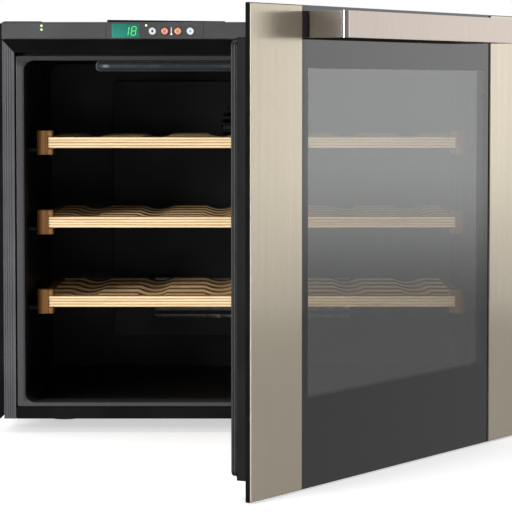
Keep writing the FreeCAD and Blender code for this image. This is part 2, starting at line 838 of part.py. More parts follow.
def make_shelf(name, middle):
    """One shelf whose rail is centred on the height middle."""
    front = behind("dims.shelf_front + 2")
    rail_back = f"({front} + dims.shelf_rail_deep)"
    half_tall = "dims.shelf_rail_tall / 2"
    rail = new_body(f"{name}_rail")
    outline = sketch_on(rail, "XZ", f"-{front}")
    rectangle(
        outline,
        ("-dims.shelf_rail_half", "dims.shelf_rail_half"),
        (f"{middle} - {half_tall}", f"{middle} + {half_tall}"),
    )
    pad(rail, outline, "dims.shelf_rail_deep", backwards=True)
    seams = sketch_on(rail, "XZ", f"-{front}")
    for step in (1, 2, 3):
        seam = f"({middle} - {half_tall} + {step} * dims.shelf_rail_tall / 4)"
        past_ends = ("-dims.shelf_rail_half - 1", "dims.shelf_rail_half + 1")
        rectangle(seams, past_ends, (f"{seam} - 0.25", f"{seam} + 0.25"))
    pocket(rail, seams, 0.5)
    keep(rail, f"{name}_front_rail")

    half_block = "dims.shelf_end_tall / 2"
    block = new_body(f"{name}_end")
    outline = sketch_on(block, "XZ", f"-{behind('dims.shelf_front')}")
    rounded_rectangle(
        outline,
        ("dims.shelf_tab_half", "dims.shelf_end_half"),
        (f"{middle} - {half_block}", f"{middle} + {half_block}"),
        3,
    )
    pad(block, outline, "dims.shelf_rail_deep + 2", backwards=True)
    notch = sketch_on(block, "XZ", f"-{behind('dims.shelf_front')}")
    rectangle(
        notch,
        ("dims.shelf_tab_half - 1", "dims.shelf_rail_half"),
        (f"{middle} - {half_tall}", f"{middle} + {half_tall}"),
    )
    pocket(block, notch, "dims.shelf_rail_deep + 2")
    keep(group([block, mirror(block, "end_mirror")], f"{name}_ends"), f"{name}_end_blocks")

    side_inner = "(dims.shelf_rail_half + 1.5)"
    side_outer = "(dims.shelf_end_half - 2)"
    beam_y = (rail_back, behind("dims.shelf_back"))
    beam_z = (f"{middle} - {half_tall}", f"{middle} + {half_tall}")
    beams = [
        box((f"-{side_outer}", f"-{side_inner}"), beam_y, beam_z),
        box((side_inner, side_outer), beam_y, beam_z),
    ]
    slat_count = 5
    slat_deep = 24
    for step in range(slat_count):
        run = "(dims.shelf_back - dims.shelf_front - 66)"
        start = f"({rail_back} + 22 + {step} * {run} / {slat_count - 1})"
        slat_z = (f"{middle} - 4", f"{middle} + {half_tall}")
        beams.append(box((f"-{side_inner}", side_inner), (start, f"{start} + {slat_deep}"), slat_z))
    scoops = []
    for place_number in range(6):
        x_place = f"(({place_number} - 2.5) * dims.bottle_pitch)"
        level = f"({middle} + {half_tall} - 4 + dims.bottle_radius)"
        scoops.append(rod("y", (x_place, rail_back, level), "dims.shelf_back", "dims.bottle_radius"))
    keep(cut(fuse(beams, f"{name}_beams"), scoops, f"{name}_rack"), f"{name}_slats")


def make_shelf_runners():
    """Ledges on the liner's walls that the shelves' side beams slide on."""
    ledges = []
    for step in range(len(SHELVES)):
        under = f"(dims.shelf_first + {step} * dims.shelf_pitch - dims.shelf_rail_tall / 2 - 0.3)"
        ledge = box(
            ("dims.shelf_end_half - 9", "dims.opening_half"),
            (behind("dims.shelf_front + dims.shelf_rail_deep + 6"), behind("dims.shelf_back + 4")),
            (f"{under} - 4", under),
        )
        ledges.extend([ledge, mirror(ledge, "ledge_mirror")])
    keep(group(ledges, "runner_group"), "shelf_runners")


DUCT_HALF = 170
DUCT_LOW, DUCT_HIGH = 60, 372
DUCT_DEEP = 38
FAN_LEVEL = 316


def make_air_duct_cover():
    """Cover over the evaporator and its fan, with air slots."""
    front = behind(f"dims.cavity_back - {DUCT_DEEP}")
    outside = box((-DUCT_HALF, DUCT_HALF), (front, behind("dims.cavity_back")), (DUCT_LOW, DUCT_HIGH))
    inside = box(
        (-DUCT_HALF + 2, DUCT_HALF - 2),
        (f"{front} + 2", behind("dims.cavity_back + 1")),
        (DUCT_LOW + 2, DUCT_HIGH - 2),
    )
    tools = [inside]
    for step in range(9):
        level = FAN_LEVEL - 32 + 8 * step
        half = math.sqrt(38**2 - (level - FAN_LEVEL) ** 2)
        tools.append(box((-half, half), (f"{front} - 1", f"{front} + 3"), (level - 2, level + 2)))
    for step in range(6):
        level = 84 + 9 * step
        tools.append(box((-120, 120), (f"{front} - 1", f"{front} + 3"), (level - 2, level + 2)))
    keep(cut(outside, tools, "duct_cut"), "air_duct_cover")


def fan_frame(radius, deep, name):
    """A square fan frame round the z axis from z = 0, with a motor on four struts."""
    half = radius + 5
    outside = box((-half, half), (-half, half), (0, deep))
    tunnel = rod("z", (0, 0, -1), deep + 2, radius + 1.5)
    shell = cut(outside, [tunnel], f"{name}_frame")
    motor = rod("z", (0, 0, 0), 4, radius * 0.3)
    struts = [
        box((-radius - 3, radius + 3), (-2, 2), (0, 2.5)),
        box((-2, 2), (-radius - 3, radius + 3), (0, 2.5)),
    ]
    return fuse([shell, motor, *struts], f"{name}_frame_union")


def fan_rotor(radius, deep, name):
    """A hub and seven pitched blades round the z axis."""
    hub = rod("z", (0, 0, 5), deep - 6, radius * 0.36)
    parts = [hub]
    for step in range(7):
        blade = doc.addObject("Part::Box", "blade")
        blade.Length = radius * 0.67
        blade.Width = deep * 0.58
        blade.Height = 1.4
        pitch = FreeCAD.Rotation(FreeCAD.Vector(1, 0, 0), 38)
        centre = pitch.multVec(FreeCAD.Vector(0, -blade.Width.Value / 2, -0.7))
        swing = FreeCAD.Rotation(FreeCAD.Vector(0, 0, 1), step * 360 / 7)
        offset = FreeCAD.Vector(radius * 0.31, 0, deep / 2 + 1.5) + centre
        blade.Placement = FreeCAD.Placement(FreeCAD.Vector(), swing).multiply(
            FreeCAD.Placement(offset, pitch)
        )
        parts.append(blade)
    return fuse(parts, f"{name}_rotor_union")


def make_fan(prefix, labels, axis, start, radius, deep):
    """A fan's frame and rotor, blowing along an axis from the point start."""
    frame = fan_frame(radius, deep, prefix)
    rotor = fan_rotor(radius, deep, prefix)
    for piece, label in zip((frame, rotor), labels):
        piece.Placement = FreeCAD.Placement(FreeCAD.Vector(), TURN_TO[axis])
        place(piece, *start)
        keep(piece, label)


def make_cooling_unit():
    """Evaporator and circulation fan under the duct cover."""
    make_fan(
        "circulation",
        ("circulation_fan_frame", "circulation_fan_rotor"),
        "y",
        (0, behind(f"dims.cavity_back - {DUCT_DEEP} + 4"), FAN_LEVEL),
        34,
        18,
    )
    plate_front = behind("dims.cavity_back - 9")
    plate = box((-150, 150), (plate_front, f"{plate_front} + 2"), (75, 262))
    parts = [plate]
    for step in range(15):
        x_place = -140 + 20 * step
        parts.append(box((x_place - 0.7, x_place + 0.7), (f"{plate_front} - 14", plate_front), (80, 258)))
    stubs = [
        rod("y", (x_place, f"{plate_front} + 2", 240), 6.4, 4) for x_place in (-60, 60)
    ]
    keep(fuse([*parts, *stubs], "evaporator_union"), "evaporator_plate")


# ---------------------------------------------------------------- machine compartment

MACHINE_MIDDLE = "dims.foam_back + 54"
COMPRESSOR_X = -165
COMPRESSOR_RADIUS = 46
CONDENSER_X = (40, 150)


def make_compressor():
    """Hermetic pot with a domed top on a mounting plate and rubber grommets."""
    body = new_body("compressor")
    profile = sketch_on(body, "XZ")
    radius = COMPRESSOR_RADIUS
    polygon(profile, [(0, 0), (radius, 0), (radius, 92), (radius - 14, 118), (0, 122)])
    spin = body.newObject("PartDesign::Revolution", "spin")
    spin.Profile = profile
    spin.ReferenceAxis = (profile, ["V_Axis"])
    spin.Angle = 360
    doc.recompute()
    place(body, COMPRESSOR_X, behind(MACHINE_MIDDLE), "dims.base_thickness + 14")
    plate = box(
        (COMPRESSOR_X - 70, COMPRESSOR_X + 70),
        (behind(f"{MACHINE_MIDDLE} - 40"), behind(f"{MACHINE_MIDDLE} + 40")),
        ("dims.base_thickness + 10", "dims.base_thickness + 14"),
    )
    grommets = [
        rod("z", (COMPRESSOR_X + dx, behind(f"{MACHINE_MIDDLE} + {dy}"), "dims.base_thickness"), 10, 9)
        for dx in (-58, 58)
        for dy in (-28, 28)
    ]
    stub = rod("z", (COMPRESSOR_X, behind(MACHINE_MIDDLE), "dims.base_thickness + 130"), 14, 4)
    keep(fuse([body, plate, *grommets, stub], "compressor_union"), "compressor")


def make_condenser():
    """Finned tubes ahead of the condenser fan."""
    low, high = 20, 120
    y_low, y_high = behind("dims.foam_back + 12"), behind("dims.foam_back + 96")
    parts = []
    for step in range(12):
        x_place = CONDENSER_X[0] + step * (CONDENSER_X[1] - CONDENSER_X[0]) / 11
        parts.append(box((x_place - 0.6, x_place + 0.6), (y_low, y_high), (low, high)))
    for row in range(3):
        for column in range(2):
            start = (CONDENSER_X[0] - 6, f"{y_low} + 22 + {column} * 40", low + 20 + 30 * row)
            parts.append(rod("x", start, CONDENSER_X[1] - CONDENSER_X[0] + 12, 3.5))
    stand = box(
        (CONDENSER_X[0], CONDENSER_X[1]),
        (y_low, f"{y_low} + 10"),
        ("dims.base_thickness", low + 1),
    )
    keep(fuse([*parts, stand], "condenser_union"), "condenser_coil")
    make_fan(
        "condenser",
        ("condenser_fan_frame", "condenser_fan_rotor"),
        "x",
        (-12, behind(MACHINE_MIDDLE), "dims.base_thickness + 49"),
        44,
        24,
    )


def bent_tube(points, radius, bend):
    """A tube's solid along straight runs joined by tangent arcs of one bend radius."""
    corners = [FreeCAD.Vector(*point) for point in points]
    edges = []
    start = corners[0]
    for before, corner, after in zip(corners, corners[1:], corners[2:]):
        into = (before - corner).normalize()
        away = (after - corner).normalize()
        half_angle = into.getAngle(away) / 2
        reach = bend / math.tan(half_angle)
        arc_start = corner + into * reach
        arc_end = corner + away * reach
        bisector = (into + away).normalize()
        middle = corner + bisector * (bend / math.sin(half_angle) - bend)
        edges.append(Part.LineSegment(start, arc_start).toShape())
        edges.append(Part.Arc(arc_start, middle, arc_end).toShape())
        start = arc_end
    edges.append(Part.LineSegment(start, corners[-1]).toShape())
    path = Part.Wire(edges)
    heading = (corners[1] - corners[0]).normalize()
    section = Part.Wire(Part.Circle(corners[0], heading, radius).toShape())
    return path.makePipeShell([section], True, False)


def make_refrigerant_pipes():
    """Discharge pipe from the compressor to the coil, and both pipes to the evaporator."""
    middle = value(behind(MACHINE_MIDDLE))
    wall = value(behind("dims.foam_back"))
    pot_top = value("dims.base_thickness") + 144
    coil_x = CONDENSER_X[0] - 6
    coil_y = value(behind("dims.foam_back + 34"))
    discharge = [
        (COMPRESSOR_X, middle, pot_top),
        (COMPRESSOR_X, middle, pot_top + 40),
        (20, middle, pot_top + 40),
        (20, coil_y, pot_top + 40),
        (20, coil_y, 100),
        (coil_x, coil_y, 100),
    ]
    radius = value("dims.pipe_radius")
    tubes = [bent_tube(discharge, radius, 3 * radius)]
    for x_place in PIPE_PLACES:
        start = FreeCAD.Vector(x_place, wall - 20, PIPE_Z)
        tubes.append(Part.makeCylinder(radius, 30, start, FreeCAD.Vector(0, 1, 0)))
    piece = doc.addObject("Part::Feature", "pipes")
    piece.Shape = Part.makeCompound(tubes)
    keep(piece, "refrigerant_pipes")


def make_electrics():
    """Power electronics box and the mains inlet beside the grille."""
    y = (behind("dims.foam_back + 14"), behind("dims.foam_back + 70"))
    case = box((110, 240), y, (300, 400))
    lid = box((106, 244), (y[1], f"{y[1]} + 3"), (296, 404))
    wall = behind("dims.foam_back + dims.shell_sheet")
    legs = [box((x_place, x_place + 12), (wall, y[0]), (340, 360)) for x_place in (120, 218)]
    keep(fuse([case, lid, *legs], "power_union"), "power_board_case")

    back = behind("dims.cabinet_depth")
    barrel = box((INLET_X - 13.5, INLET_X + 13.5), (f"{back} - 26", back), (INLET_Z - 10, INLET_Z + 10))
    collar = box((INLET_X - 24, INLET_X + 24), (back, f"{back} + 1.5"), (INLET_Z - 12, INLET_Z + 12))
    socket = box(
        (INLET_X - 12, INLET_X + 12),
        (f"{back} - 20", f"{back} + 2"),
        (INLET_Z - 8, INLET_Z + 8),
    )
    shell = cut(fuse([barrel, collar], "inlet_union"), [socket], "inlet_shell")
    blades = []
    for dx, dz in ((-7, -1), (0, 2), (7, -1)):
        x, z = INLET_X + dx, INLET_Z + dz
        blades.append(box((x - 1, x + 1), (f"{back} - 21", f"{back} - 4"), (z - 2, z + 2)))
    keep(fuse([shell, *blades], "inlet_whole"), "power_inlet")


INLET_X, INLET_Z = 215, 44
COVER_SHEET = 1.5


def make_machine_cover():
    """Rear cover with two fields of air slots and a cut-out for the mains inlet."""
    body = new_body("machine_cover")
    face = behind(f"dims.cabinet_depth - {COVER_SHEET}")
    inner = f"({HALF_WIDTH} - dims.shell_sheet - 0.3)"
    outline = sketch_on(body, "XZ", f"-{face}")
    rectangle(
        outline,
        (f"-{inner}", inner),
        ("dims.base_thickness + 0.3", "dims.cabinet_height - dims.shell_sheet - 0.3"),
    )
    pad(body, outline, COVER_SHEET, backwards=True)
    slot = sketch_on(body, "XZ", f"-{face}")
    for x_place in (-160, 90):
        rounded_rectangle(slot, (x_place - 75, x_place + 75), (70, 76), 2.5)
    first = pocket(body, slot, 3)
    repeat(body, first, "Z_Axis", 310, 26)
    opening = sketch_on(body, "XZ", f"-{face}")
    rectangle(opening, (INLET_X - 14, INLET_X + 14), (INLET_Z - 10.5, INLET_Z + 10.5))
    pocket(body, opening, 3)
    keep(body, "machine_cover")


# ---------------------------------------------------------------- hinges


def hinge_arm_levels():
    """The low and high faces of the upper and the lower hinge arm."""
    above = f"({DOOR_TOP} - dims.frame_inset_top + 2.6)"
    below = "(dims.door_low + dims.frame_inset_low - 6)"
    return (
        (above, f"{above} + dims.hinge_sheet"),
        (below, f"{below} + dims.hinge_sheet"),
    )


def hinge_screw_places():
    """Where the screws of each hinge bracket enter the cabinet's side."""
    (upper, _), (_, lower) = hinge_arm_levels()
    rows = (f"({upper} - 14)", f"({lower} + 14)")
    return [(behind(setback), row) for row in rows for setback in (48, 68)]


def hinge_screw_rods(depth, radius):
    """Rods that reach into the cabinet from the brackets' screw holes."""
    return [
        rod("x", (f"{HALF_WIDTH} + 4 - ({depth})", y, z), depth, radius)
        for y, z in hinge_screw_places()
    ]


def make_hinge_brackets():
    """Angles on the cabinet's side, each with an arm that reaches over the door's pivot."""
    side = f"({HALF_WIDTH} + 0.2)"
    for number, label in enumerate(("hinge_bracket_top", "hinge_bracket_bottom")):
        low, high = hinge_arm_levels()[number]
        front_end = f"({HINGE_Y} - dims.hinge_arm_half)"
        arm = box((side, f"{HINGE_X} + dims.hinge_arm_half"), (front_end, behind(80)), (low, high))
        nose = rod("z", (HINGE_X, HINGE_Y, low), "dims.hinge_sheet", "dims.hinge_arm_half")
        leg_z = (f"{low} - 26", high) if number == 0 else (low, f"{high} + 26")
        leg = box((side, f"{side} + 2"), (behind(38), behind(80)), leg_z)
        holes = [rod("z", (HINGE_X, HINGE_Y, f"{low} - 1"), 6, "dims.pin_radius")]
        holes.extend(hinge_screw_rods(6, 2))
        keep(cut(fuse([arm, nose, leg], f"{label}_union"), holes, f"{label}_cut"), label)


def make_hinge_pins():
    """Headed pins riveted in the arms, which the door turns on."""
    (upper_low, upper_high), (lower_low, lower_high) = hinge_arm_levels()
    top_shank = rod(
        "z", (HINGE_X, HINGE_Y, f"{upper_low} - 17"), "17 + dims.hinge_sheet", "dims.pin_radius"
    )
    top_head = rod("z", (HINGE_X, HINGE_Y, upper_high), 1.5, "dims.pin_radius + 1.5")
    low_shank = rod("z", (HINGE_X, HINGE_Y, lower_low), "17 + dims.hinge_sheet", "dims.pin_radius")
    low_head = rod("z", (HINGE_X, HINGE_Y, f"{lower_low} - 1.5"), 1.5, "dims.pin_radius + 1.5")
    pins = [fuse([top_shank, top_head], "pin_top"), fuse([low_shank, low_head], "pin_low")]
    keep(group(pins, "pin_group"), "hinge_pins")


def make_cabinet_screws():
    """Screws that hold both hinge brackets to the cabinet's side."""
    screws = []
    head_side = f"({HALF_WIDTH} + 0.2 + 2)"
    for y, z in hinge_screw_places():
        shank = rod("x", (f"{head_side} - 12", y, z), 12, 2)
        head = rod("x", (head_side, y, z), 1.8, 3.8)
        screws.append(fuse([shank, head], "screw"))
    keep(group(screws, "screw_group"), "hinge_screws")


# ---------------------------------------------------------------- door


def hang(piece, label):
    """Places a door piece, drawn round the hinge axis, on the opened door."""
    piece.Placement = FreeCAD.Placement(
        FreeCAD.Vector(), FreeCAD.Rotation(FreeCAD.Vector(0, 0, 1), value("dims.door_rest_angle"))
    )
    piece.setExpression("Placement.Rotation.Angle", "dims.door_rest_angle")
    place(piece, HINGE_X, HINGE_Y)
    keep(piece, label)


def door_plate(name, x, z, front, thick, corner=None):
    """A body for an upright sheet of the door."""
    body = new_body(name)
    outline = sketch_on(body, "XZ", f"-({front})")
    if corner is None:
        rectangle(outline, x, z)
    else:
        rounded_rectangle(outline, x, z, corner)
    pad(body, outline, thick, backwards=True)
    return body


def handle_screw_places():
    """The x and z of the two handle screws."""
    level = f"({DOOR_TOP} - dims.handle_drop - dims.handle_tall / 2)"
    left = f"({DOOR_FREE} + dims.handle_inset + dims.handle_thick / 2)"
    right = "(dims.door_past_hinge - dims.handle_inset - dims.handle_thick / 2)"
    return [(left, level), (right, level)]


def make_door_glass():
    """Outer pane, as large as the door, drilled for the handle."""
    body = door_plate(
        "door_outer_glass",
        (DOOR_FREE, "dims.door_past_hinge"),
        ("dims.door_low", DOOR_TOP),
        "dims.glass_front",
        "dims.glass_sheet",
        1.5,
    )
    holes = sketch_on(body, "XZ", "-dims.glass_front")
    for x, z in handle_screw_places():
        circle(holes, x, z, 3)
    pocket(body, holes, "dims.glass_sheet + 1")
    hang(body, "door_outer_glass")


def make_steel_strips():
    """Brushed steel strips bonded on the glass along its upright edges."""
    end_edge = 0.8
    side_edge = 1.2
    z = (f"dims.door_low + {end_edge}", f"{DOOR_TOP} - {end_edge}")
    front = "dims.glass_front - dims.strip_sheet"
    left = (f"{DOOR_FREE} + {side_edge}", f"{DOOR_FREE} + dims.strip_width")
    right = ("dims.door_past_hinge - dims.strip_width", f"dims.door_past_hinge - {side_edge}")
    for label, x in (("steel_strip_left", left), ("steel_strip_right", right)):
        hang(door_plate(label, x, z, front, "dims.strip_sheet"), label)


def window_span(margin):
    """The opening behind the door's window, wider for slanting sight, grown by a margin, in x and z."""
    beside = f"dims.strip_width + dims.window_border - dims.side_sight - ({margin})"
    x = (f"({DOOR_FREE} + {beside})", f"(dims.door_past_hinge - ({beside}))")
    z = (f"({DOOR_TOP} - dims.window_low - ({margin}))", f"({DOOR_TOP} - dims.window_top + ({margin}))")
    return x, z


def make_door_frame():
    """Moulded inner frame that carries the second pane, the gasket and the hinge bushes."""
    back_of_glass = "(dims.glass_front + dims.glass_sheet)"
    x = (f"{DOOR_FREE} + dims.frame_inset_side + 2", "dims.door_past_hinge - dims.frame_inset_side")
    z = ("dims.door_low + dims.frame_inset_low", f"{DOOR_TOP} - dims.frame_inset_top")
    body = door_plate("door_frame", x, z, back_of_glass, "dims.frame_deep", 1.5)
    rebate = sketch_on(body, "XZ", f"-{back_of_glass}")
    rectangle(rebate, *window_span("dims.pane_lap"))
    pocket(body, rebate, "dims.frame_deep - dims.frame_lip")
    opening = sketch_on(body, "XZ", f"-{back_of_glass}")
    rounded_rectangle(opening, *window_span("3"), 6)
    pocket(body, opening, "dims.frame_deep + 1")
    low_socket = sketch_on(body, "XY", z[0])
    circle(low_socket, 0, 0, "dims.bush_radius")
    pocket(body, low_socket, 20, backwards=True)
    top_socket = sketch_on(body, "XY", z[1])
    circle(top_socket, 0, 0, "dims.bush_radius")
    pocket(body, top_socket, 20)
    hang(body, "door_frame")


def make_panes():
    """Spacer and inner pane, which make the double glazing with the outer pane."""
    x, z = window_span("dims.pane_lap - dims.pane_play")
    hole_x, hole_z = window_span("dims.pane_lap - dims.pane_play - dims.spacer_wide")
    spacer = new_body("door_spacer")
    ring = sketch_on(spacer, "XZ", "-(dims.glass_front + dims.glass_sheet)")
    rectangle(ring, x, z)
    rectangle(ring, hole_x, hole_z)
    pad(spacer, ring, "dims.spacer_wide", backwards=True)
    hang(spacer, "door_spacer")
    hang(door_plate("door_inner_glass", x, z, PANE_FRONT, "dims.glass_sheet"), "door_inner_glass")


def make_gasket():
    """Ribbed magnetic seal on the back of the door frame."""
    body = new_body("door_gasket")
    centre = f"(-{HINGE_X})"
    face = "(dims.glass_front + dims.glass_sheet + dims.frame_deep)"
    layers = ((0, 2.2, 0), (2.2, 1.4, 1.6), (3.6, 1.8, 0.2), (5.4, 1.3, 1.8), (6.7, 1.9, 0.6))
    for start, thick, pinch in layers:
        ring = sketch_on(body, "XZ", f"-({face} + {start})")
        outer = f"(dims.gasket_half - {pinch})"
        inner = f"(dims.gasket_half - dims.gasket_wide + {pinch})"
        rounded_rectangle(
            ring,
            (f"{centre} - {outer}", f"{centre} + {outer}"),
            (f"dims.gasket_low + {pinch}", f"dims.gasket_high - {pinch}"),
            f"6 - {pinch}",
        )
        hole_low = f"dims.gasket_low + dims.gasket_wide - {pinch}"
        hole_high = f"dims.gasket_high - dims.gasket_wide + {pinch}"
        rounded_rectangle(
            ring, (f"{centre} - {inner}", f"{centre} + {inner}"), (hole_low, hole_high), 3
        )
        pad(body, ring, thick, backwards=True)
    hang(body, "door_gasket")


def make_handle():
    """Flat bar bent to a U, standing off the glass between the strips."""
    body = new_body("door_handle")
    low = f"({DOOR_TOP} - dims.handle_drop - dims.handle_tall)"
    x_out = (f"({DOOR_FREE} + dims.handle_inset)", "(dims.door_past_hinge - dims.handle_inset)")
    front = "(dims.glass_front - dims.handle_reach)"
    past_glass = "(dims.glass_front + 2 * dims.handle_bend)"
    outline = sketch_on(body, "XY", low)
    rounded_rectangle(outline, x_out, (front, past_glass), "dims.handle_bend")
    pad(body, outline, "dims.handle_tall")
    gap = sketch_on(body, "XY", low)
    rounded_rectangle(
        gap,
        (f"{x_out[0]} + dims.handle_thick", f"{x_out[1]} - dims.handle_thick"),
        (f"{front} + dims.handle_thick", f"{past_glass} + 10"),
        "dims.handle_inner_bend",
    )
    pocket(body, gap, "dims.handle_tall", backwards=True)
    ends = sketch_on(body, "XY", low)
    rectangle(ends, (f"{x_out[0]} - 1", f"{x_out[1]} + 1"), ("dims.glass_front", f"{past_glass} + 1"))
    pocket(body, ends, "dims.handle_tall", backwards=True)
    bores = sketch_on(body, "XZ", "-dims.glass_front")
    for x, z in handle_screw_places():
        circle(bores, x, z, 2.5)
    pocket(body, bores, 12, backwards=True)
    hang(body, "door_handle")

    back_of_glass = "(dims.glass_front + dims.glass_sheet)"
    screws = []
    for x, z in handle_screw_places():
        shank = rod("y", (x, f"{back_of_glass} - 15", z), 15, 2.5)
        head = rod("y", (x, back_of_glass, z), 3, 5)
        screws.append(fuse([shank, head], "handle_screw"))
    hang(group(screws, "handle_screw_group"), "handle_screws")


def make_hinge_bushes():
    """Bushes pressed into the door frame round the pins."""
    frame_low = "(dims.door_low + dims.frame_inset_low)"
    frame_high = f"({DOOR_TOP} - dims.frame_inset_top)"
    bore = "dims.pin_radius + dims.bush_play"
    bushes = []
    for low in (frame_low, f"({frame_high} - 16)"):
        sleeve = rod("z", (0, 0, low), 16, "dims.bush_radius")
        hole = rod("z", (0, 0, f"{low} - 1"), 18, bore)
        bushes.append(cut(sleeve, [hole], "bush"))
    hang(group(bushes, "bush_group"), "hinge_bushes")


# ---------------------------------------------------------------- build and export


def build():
    """Makes every sub-part in turn."""
    make_outer_shell()
    make_base_plate()
    make_feet()
    make_rear_panel()
    make_inner_liner()
    make_insulation()
    make_surround()
    make_trim_flanges()
    make_control_fascia()
    make_top_trim()
    make_display()
    make_control_board()
    make_buttons()
    make_indicator_lights()
    make_lamp()
    make_shelves()
    make_shelf_runners()
    make_air_duct_cover()
    make_cooling_unit()
    make_compressor()
    make_condenser()
    make_refrigerant_pipes()
    make_electrics()
    make_machine_cover()
    make_hinge_brackets()
    make_hinge_pins()
    make_cabinet_screws()
    make_door_glass()
    make_steel_strips()
    make_door_frame()
    make_panes()
    make_gasket()
    make_handle()
    make_hinge_bushes()
    doc.recompute()


def check_and_export():
    """Stops on any failed object or shape, then writes one STEP file for each sub-part."""
    failed = [item.Name for item in doc.Objects if {"Invalid", "Error"} & set(item.State)]
    if failed:
        raise ValueError(f"failed objects: {failed}")
    for piece in nodes:
        if piece.Shape.isNull() or not piece.Shape.isValid():
            raise ValueError(f"{piece.Label} has no valid shape")
    os.makedirs("parts", exist_ok=True)
    for piece in nodes:
        piece.Shape.exportStep(f"parts/{piece.Label}.step")
        volume = piece.Shape.Volume / 1000
        print(f"{piece.Label:28s} {len(piece.Shape.Solids):3d} solids {volume:10.2f} cm3")


build()
check_and_export()
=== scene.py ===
"""Built-in wine cooler, its door standing open: finishes, fine detail and a plain studio.

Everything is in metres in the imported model's frame: +Z up, the front faces -Y, and the origin is
the middle of the base plate's underside. Door pieces are drawn as if the door were shut, round
the hinge axis, and are then turned open about it.
"""

import json
import logging
import math
from dataclasses import dataclass, field
from enum import Enum
from typing import Iterable, Optional, Sequence, Union

import bpy
from mathutils import Euler, Matrix, Vector


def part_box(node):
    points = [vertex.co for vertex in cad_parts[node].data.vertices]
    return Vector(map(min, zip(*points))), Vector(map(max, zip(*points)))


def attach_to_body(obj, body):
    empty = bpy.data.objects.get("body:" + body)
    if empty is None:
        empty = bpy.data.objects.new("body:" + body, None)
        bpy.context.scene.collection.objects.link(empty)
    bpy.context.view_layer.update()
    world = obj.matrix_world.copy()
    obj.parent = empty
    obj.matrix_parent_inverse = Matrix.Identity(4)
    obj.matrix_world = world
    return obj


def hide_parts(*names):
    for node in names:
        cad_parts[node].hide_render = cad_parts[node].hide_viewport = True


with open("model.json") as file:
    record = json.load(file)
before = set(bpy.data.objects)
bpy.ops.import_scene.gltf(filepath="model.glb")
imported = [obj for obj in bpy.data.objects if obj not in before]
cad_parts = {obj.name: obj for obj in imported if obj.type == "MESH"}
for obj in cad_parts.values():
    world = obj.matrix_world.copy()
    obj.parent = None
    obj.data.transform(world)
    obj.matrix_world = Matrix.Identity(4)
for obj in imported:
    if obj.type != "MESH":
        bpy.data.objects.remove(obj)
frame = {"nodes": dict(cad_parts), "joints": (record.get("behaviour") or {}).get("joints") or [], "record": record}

LOG = logging.getLogger("wine_cooler")
MM = 0.001
MIRROR = Matrix.Scale(-1, 4, (1, 0, 0))
MERGE_GAP = 0.02 * MM
FLAT_ANGLE = math.radians(0.5)
SMOOTH_ANGLE = math.radians(32)

KEYS = ("button_power", "button_up", "button_down", "button_light")

Number = Union[float, "Term"]
Colour = tuple[float, float, float]
Box = tuple[Vector, Vector]


# ------------------------------------------------------------------------- shader arithmetic


class Term:
    """The output socket of a node, with arithmetic that adds Math nodes."""

    def __init__(self, bench: "Bench", socket: bpy.types.NodeSocket) -> None:
        """Wraps a socket.

        Args:
            bench: the bench whose node tree holds the socket.
            socket: the output socket.
        """
        self.bench = bench
        self.socket = socket

    def _math(self, operation: str, first: Number, second: Number) -> "Term":
        """Adds a Math node for an operation on two values."""
        return self.bench.node("ShaderNodeMath", {"operation": operation}, {0: first, 1: second})

    def __add__(self, other: Number) -> "Term":
        """Adds a value."""
        return self._math("ADD", self, other)

    def __radd__(self, other: Number) -> "Term":
        """Adds to a value."""
        return self._math("ADD", other, self)

    def __sub__(self, other: Number) -> "Term":
        """Takes a value away."""
        return self._math("SUBTRACT", self, other)

    def __rsub__(self, other: Number) -> "Term":
        """Is taken away from a value."""
        return self._math("SUBTRACT", other, self)

    def __mul__(self, other: Number) -> "Term":
        """Multiplies by a value."""
        return self._math("MULTIPLY", self, other)

    def __rmul__(self, other: Number) -> "Term":
        """Multiplies a value."""
        return self._math("MULTIPLY", other, self)

    def __truediv__(self, other: Number) -> "Term":
        """Divides by a value."""
        return self._math("DIVIDE", self, other)

    def power(self, exponent: float) -> "Term":
        """Raises to a power."""
        return self._math("POWER", self, exponent)

    def distance(self) -> "Term":
        """Is the value without its sign."""
        return self._math("ABSOLUTE", self, 0.0)

    def whole(self) -> "Term":
        """Is the value rounded down."""
        return self._math("FLOOR", self, 0.0)

    def larger(self, other: Number) -> "Term":
        """Is the larger of two values."""
        return self._math("MAXIMUM", self, other)

    def ramp(self, low: float, high: float, start: float = 0.0, end: float = 1.0) -> "Term":
        """Maps one span onto another, smoothly, and clamps outside it.

        Args:
            low: where the span starts.
            high: where the span ends.
            start: the result at the span's start.
            end: the result at the span's end.

        Returns:
            The mapped value.
        """
        settings = {"interpolation_type": "SMOOTHSTEP"}
        inputs = {0: self, 1: low, 2: high, 3: start, 4: end}
        return self.bench.node("ShaderNodeMapRange", settings, inputs)


